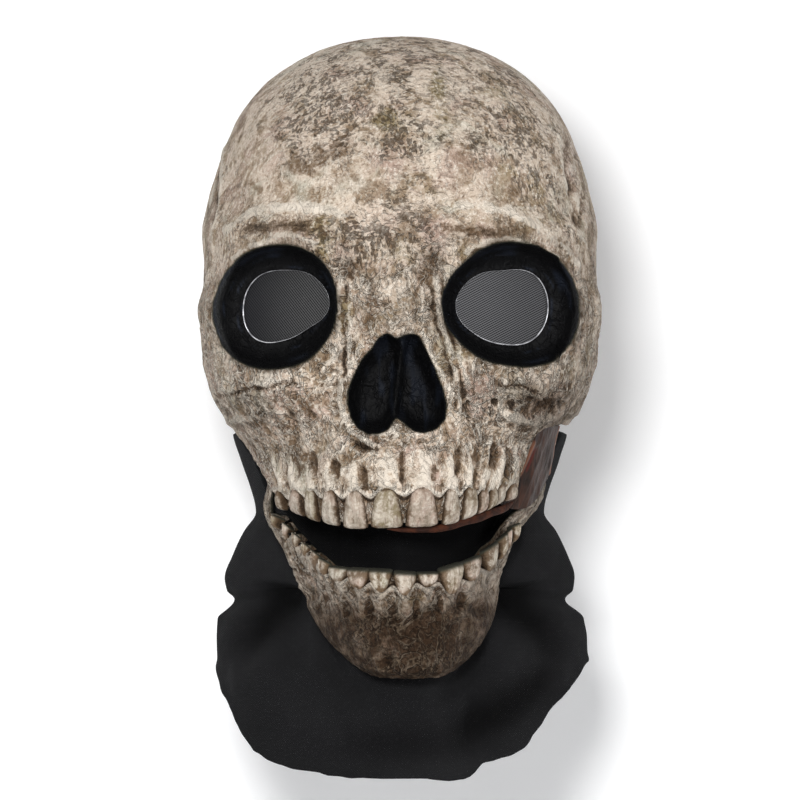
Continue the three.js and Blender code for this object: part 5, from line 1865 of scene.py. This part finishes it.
def hood_cloth():
    """The hood as one sheet of cloth with its folds and its rolled hem."""
    around, down = 280, 168
    turn = np.linspace(-180, 180, around, endpoint=False)[None, :] * np.ones((down, 1))
    share = np.linspace(0, 1, down)[:, None] * np.ones((1, around))
    plain, drop = hood_surface(turn, share, 0)
    x, y = plain[..., 0], plain[..., 1]
    front = smooth((-y + 8) / 25)
    loose = smooth((drop - 236) / 20)
    folds = np.zeros_like(x)
    for fold in CLOTH_FOLDS:
        far = line_distance(x, drop, fold["line"]) / fold["wide"]
        folds += fold["rise"] * np.exp(-far * far)
    wrinkles = 1.4 * noise(x, y, drop, 24) + 0.5 * noise(x, y, 1.6 * drop, 10)
    behind_mouth = 0.35 * noise(1.6 * x, y, drop, 10)
    rolled = 0.7 * np.exp(-(((1 - share) / 0.03) ** 2))
    rise = 1.7 * folds * front * loose + wrinkles * loose + behind_mouth * (1 - loose) + rolled
    seen = np.degrees(np.arctan2(x, -y))
    round_jaw = np.abs(seen) / math.degrees(JAW_END)
    jaw_foot = CHIN_DROP * (1 - 0.14 * round_jaw)
    under_jaw = smooth(13 * (1.08 - round_jaw)) * smooth((jaw_foot - drop) / 5)
    rise = rise + (np.minimum(rise, 0.2) - rise) * np.maximum(1 - loose, under_jaw)
    outward = normals_of(plain, True)
    outer = plain + outward * rise[..., None]
    inner = outer - CLOTH_WALL * normals_of(outer, True)
    # Painted shade and highlight: the fold value is high on raised folds and low in fold hollows and behind
    # the mouth, where shade falls.
    mouth_painted_shade = front * smooth((52 - np.abs(x)) / 8) * smooth((drop - 205) / 10)
    shaded = (folds * front + 0.3 * wrinkles) * loose - 1.2 * mouth_painted_shade * (1 - loose)
    values = {"fold": blurred(np.clip(shaded / 2.2, -1, 1), 36, True)}
    return sheet_mesh("hood_cloth", outer, inner, True, values, "black_knit")


bone_material("bone_paint")
bone_material("tooth_paint", streaks=0.5, marked=0.5, tinge=paint(178, 174, 162), grainy=0.35)
plain_material("inside_rubber", paint(150, 132, 108), 0.75, 60, paint(120, 102, 80), 0.6)
plain_material("palate_paint", paint(36, 19, 13), 0.75, 200, paint(76, 40, 24), 0.7)
# Painted light on the gauze: each lens goes from its first to its second shade across the given span of X.
gauze_material("gauze_left", 38, -72, -36, paint(34, 34, 37), paint(80, 80, 80))
gauze_material("gauze_right", -62, 22, 68, paint(100, 100, 102), paint(82, 82, 84))
cloth_material("black_knit")
muscle_material("muscle_rubber")
rim_highlight_material("silver_rim")

# Painted highlight: how strongly each lens ring shows towards eight directions, strongest where its edge
# catches the light.
RIM_SHINE = {"left": (0, 0, 0.1, 0.5, 1, 0.9, 0.3, 0.1), "right": (1, 0.5, 0, 0, 0, 0.3, 0.9, 0.9)}
LEFT, RIGHT = SOCKETS
PIECES = (
    (skull_bone(), "bone", "skull_shell"),
    (upper_teeth(), "bone", "skull_shell"),
    (palate_edge(), "bone", "skull_shell"),
    (jaw_bone(), "bone", "jaw_shell"),
    (lower_teeth(), "bone", "jaw_shell"),
    (cheek_web("cheek_web_bone_left", -1), "muscle", "cheek_web_left"),
    (cheek_web("cheek_web_bone_right", 1), "muscle", "cheek_web_right"),
    (eye_lens("lens_left", LEFT), "eye_mesh", "eye_mesh_left"),
    (eye_lens("lens_right", RIGHT), "eye_mesh", "eye_mesh_right"),
    (lens_rim("lens_rim_left", LEFT, RIM_SHINE["left"]), "eye_mesh", "eye_mesh_left"),
    (lens_rim("lens_rim_right", RIGHT, RIM_SHINE["right"]), "eye_mesh", "eye_mesh_right"),
    (hood_cloth(), "hood_cloth", "hood"),
)
for piece, slot, node in PIECES:
    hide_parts(node)
    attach(piece, "root")


# Studio: a pale backdrop close behind the mask, a pale floor and soft lights.
BACKDROP_Y = 0.165
FLOOR_Z = -0.8
STAGE_TOP = 1.6
STAGE_FRONT = -3.6
STAGE_SIDE = 2
AIM = (0, 0, -0.16)


def stage_plane(name, corners, material):
    """A plain plane of the stage."""
    mesh = bpy.data.meshes.new(name)
    mesh.from_pydata(corners, [], [[0, 1, 2, 3]])
    mesh.materials.append(material)
    obj = bpy.data.objects.new(name, mesh)
    bpy.context.scene.collection.objects.link(obj)
    obj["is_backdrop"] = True
    return obj


def backdrop_material():
    """Near white, and see-through from behind so that the mask's back can be looked at."""
    n = Nodes("backdrop_white")
    n.set(Base_Color=(0.95, 0.95, 0.95, 1), Roughness=1, Specular_IOR_Level=0)
    n.set(Emission_Color=(1, 1, 1, 1), Emission_Strength=0.12)
    clear = n.make("ShaderNodeBsdfTransparent")
    geometry = n.make("ShaderNodeNewGeometry")
    mixed = n.make("ShaderNodeMixShader")
    n.join(geometry.outputs["Backfacing"], mixed.inputs[0])
    n.join(n.shader.outputs["BSDF"], mixed.inputs[1])
    n.join(clear.outputs["BSDF"], mixed.inputs[2])
    n.join(mixed.outputs["Shader"], n.output.inputs["Surface"])
    return n.material


white = backdrop_material()
back_foot = [(-STAGE_SIDE, BACKDROP_Y, FLOOR_Z), (STAGE_SIDE, BACKDROP_Y, FLOOR_Z)]
back_top = [(STAGE_SIDE, BACKDROP_Y, STAGE_TOP), (-STAGE_SIDE, BACKDROP_Y, STAGE_TOP)]
floor_front = [(-STAGE_SIDE, STAGE_FRONT, FLOOR_Z), (STAGE_SIDE, STAGE_FRONT, FLOOR_Z)]
stage_plane("backdrop", back_foot + back_top, white)
stage_plane("floor", floor_front + back_foot[::-1], white)


def area_light(name, place, size, watts, color=(1, 1, 1)):
    """A soft square light that looks at the mask's middle."""
    data = bpy.data.lights.new(name, "AREA")
    data.shape = "SQUARE"
    data.size = size
    data.energy = watts
    data.color = color
    obj = bpy.data.objects.new(name, data)
    obj.location = place
    obj.rotation_euler = (Vector(AIM) - Vector(place)).to_track_quat("-Z", "Y").to_euler()
    bpy.context.scene.collection.objects.link(obj)
    return obj


area_light("front", (-0.26, -3.0, 0.3), 0.48, 66)
upper = area_light("upper", (-0.7, -1.5, 1.2), 1.0, 12, (1, 0.99, 0.97))
fill = area_light("fill", (1.5, -2.0, 0.2), 0.9, 20)
area_light("back", (0, 2.6, 0.8), 1.6, 30)
lit = bpy.data.collections.new("lit_from_above")
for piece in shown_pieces():
    lit.objects.link(piece)
upper.light_linking.receiver_collection = lit
fill.light_linking.receiver_collection = lit

world = bpy.data.worlds.new("studio")
world.use_nodes = True
world.node_tree.nodes["Background"].inputs["Color"].default_value = (0.93, 0.95, 1, 1)
world.node_tree.nodes["Background"].inputs["Strength"].default_value = 0.27
bpy.context.scene.world = world
bpy.context.scene.view_settings.view_transform = "Standard"

camera_data = bpy.data.cameras.new("camera")
camera_data.lens = 1200
camera_data.sensor_width = 36
camera = bpy.data.objects.new("camera", camera_data)
camera.location = (0, -12.28, -0.1644)
camera.rotation_euler = (math.pi / 2, 0, 0)
bpy.context.scene.collection.objects.link(camera)
bpy.context.scene.camera = camera
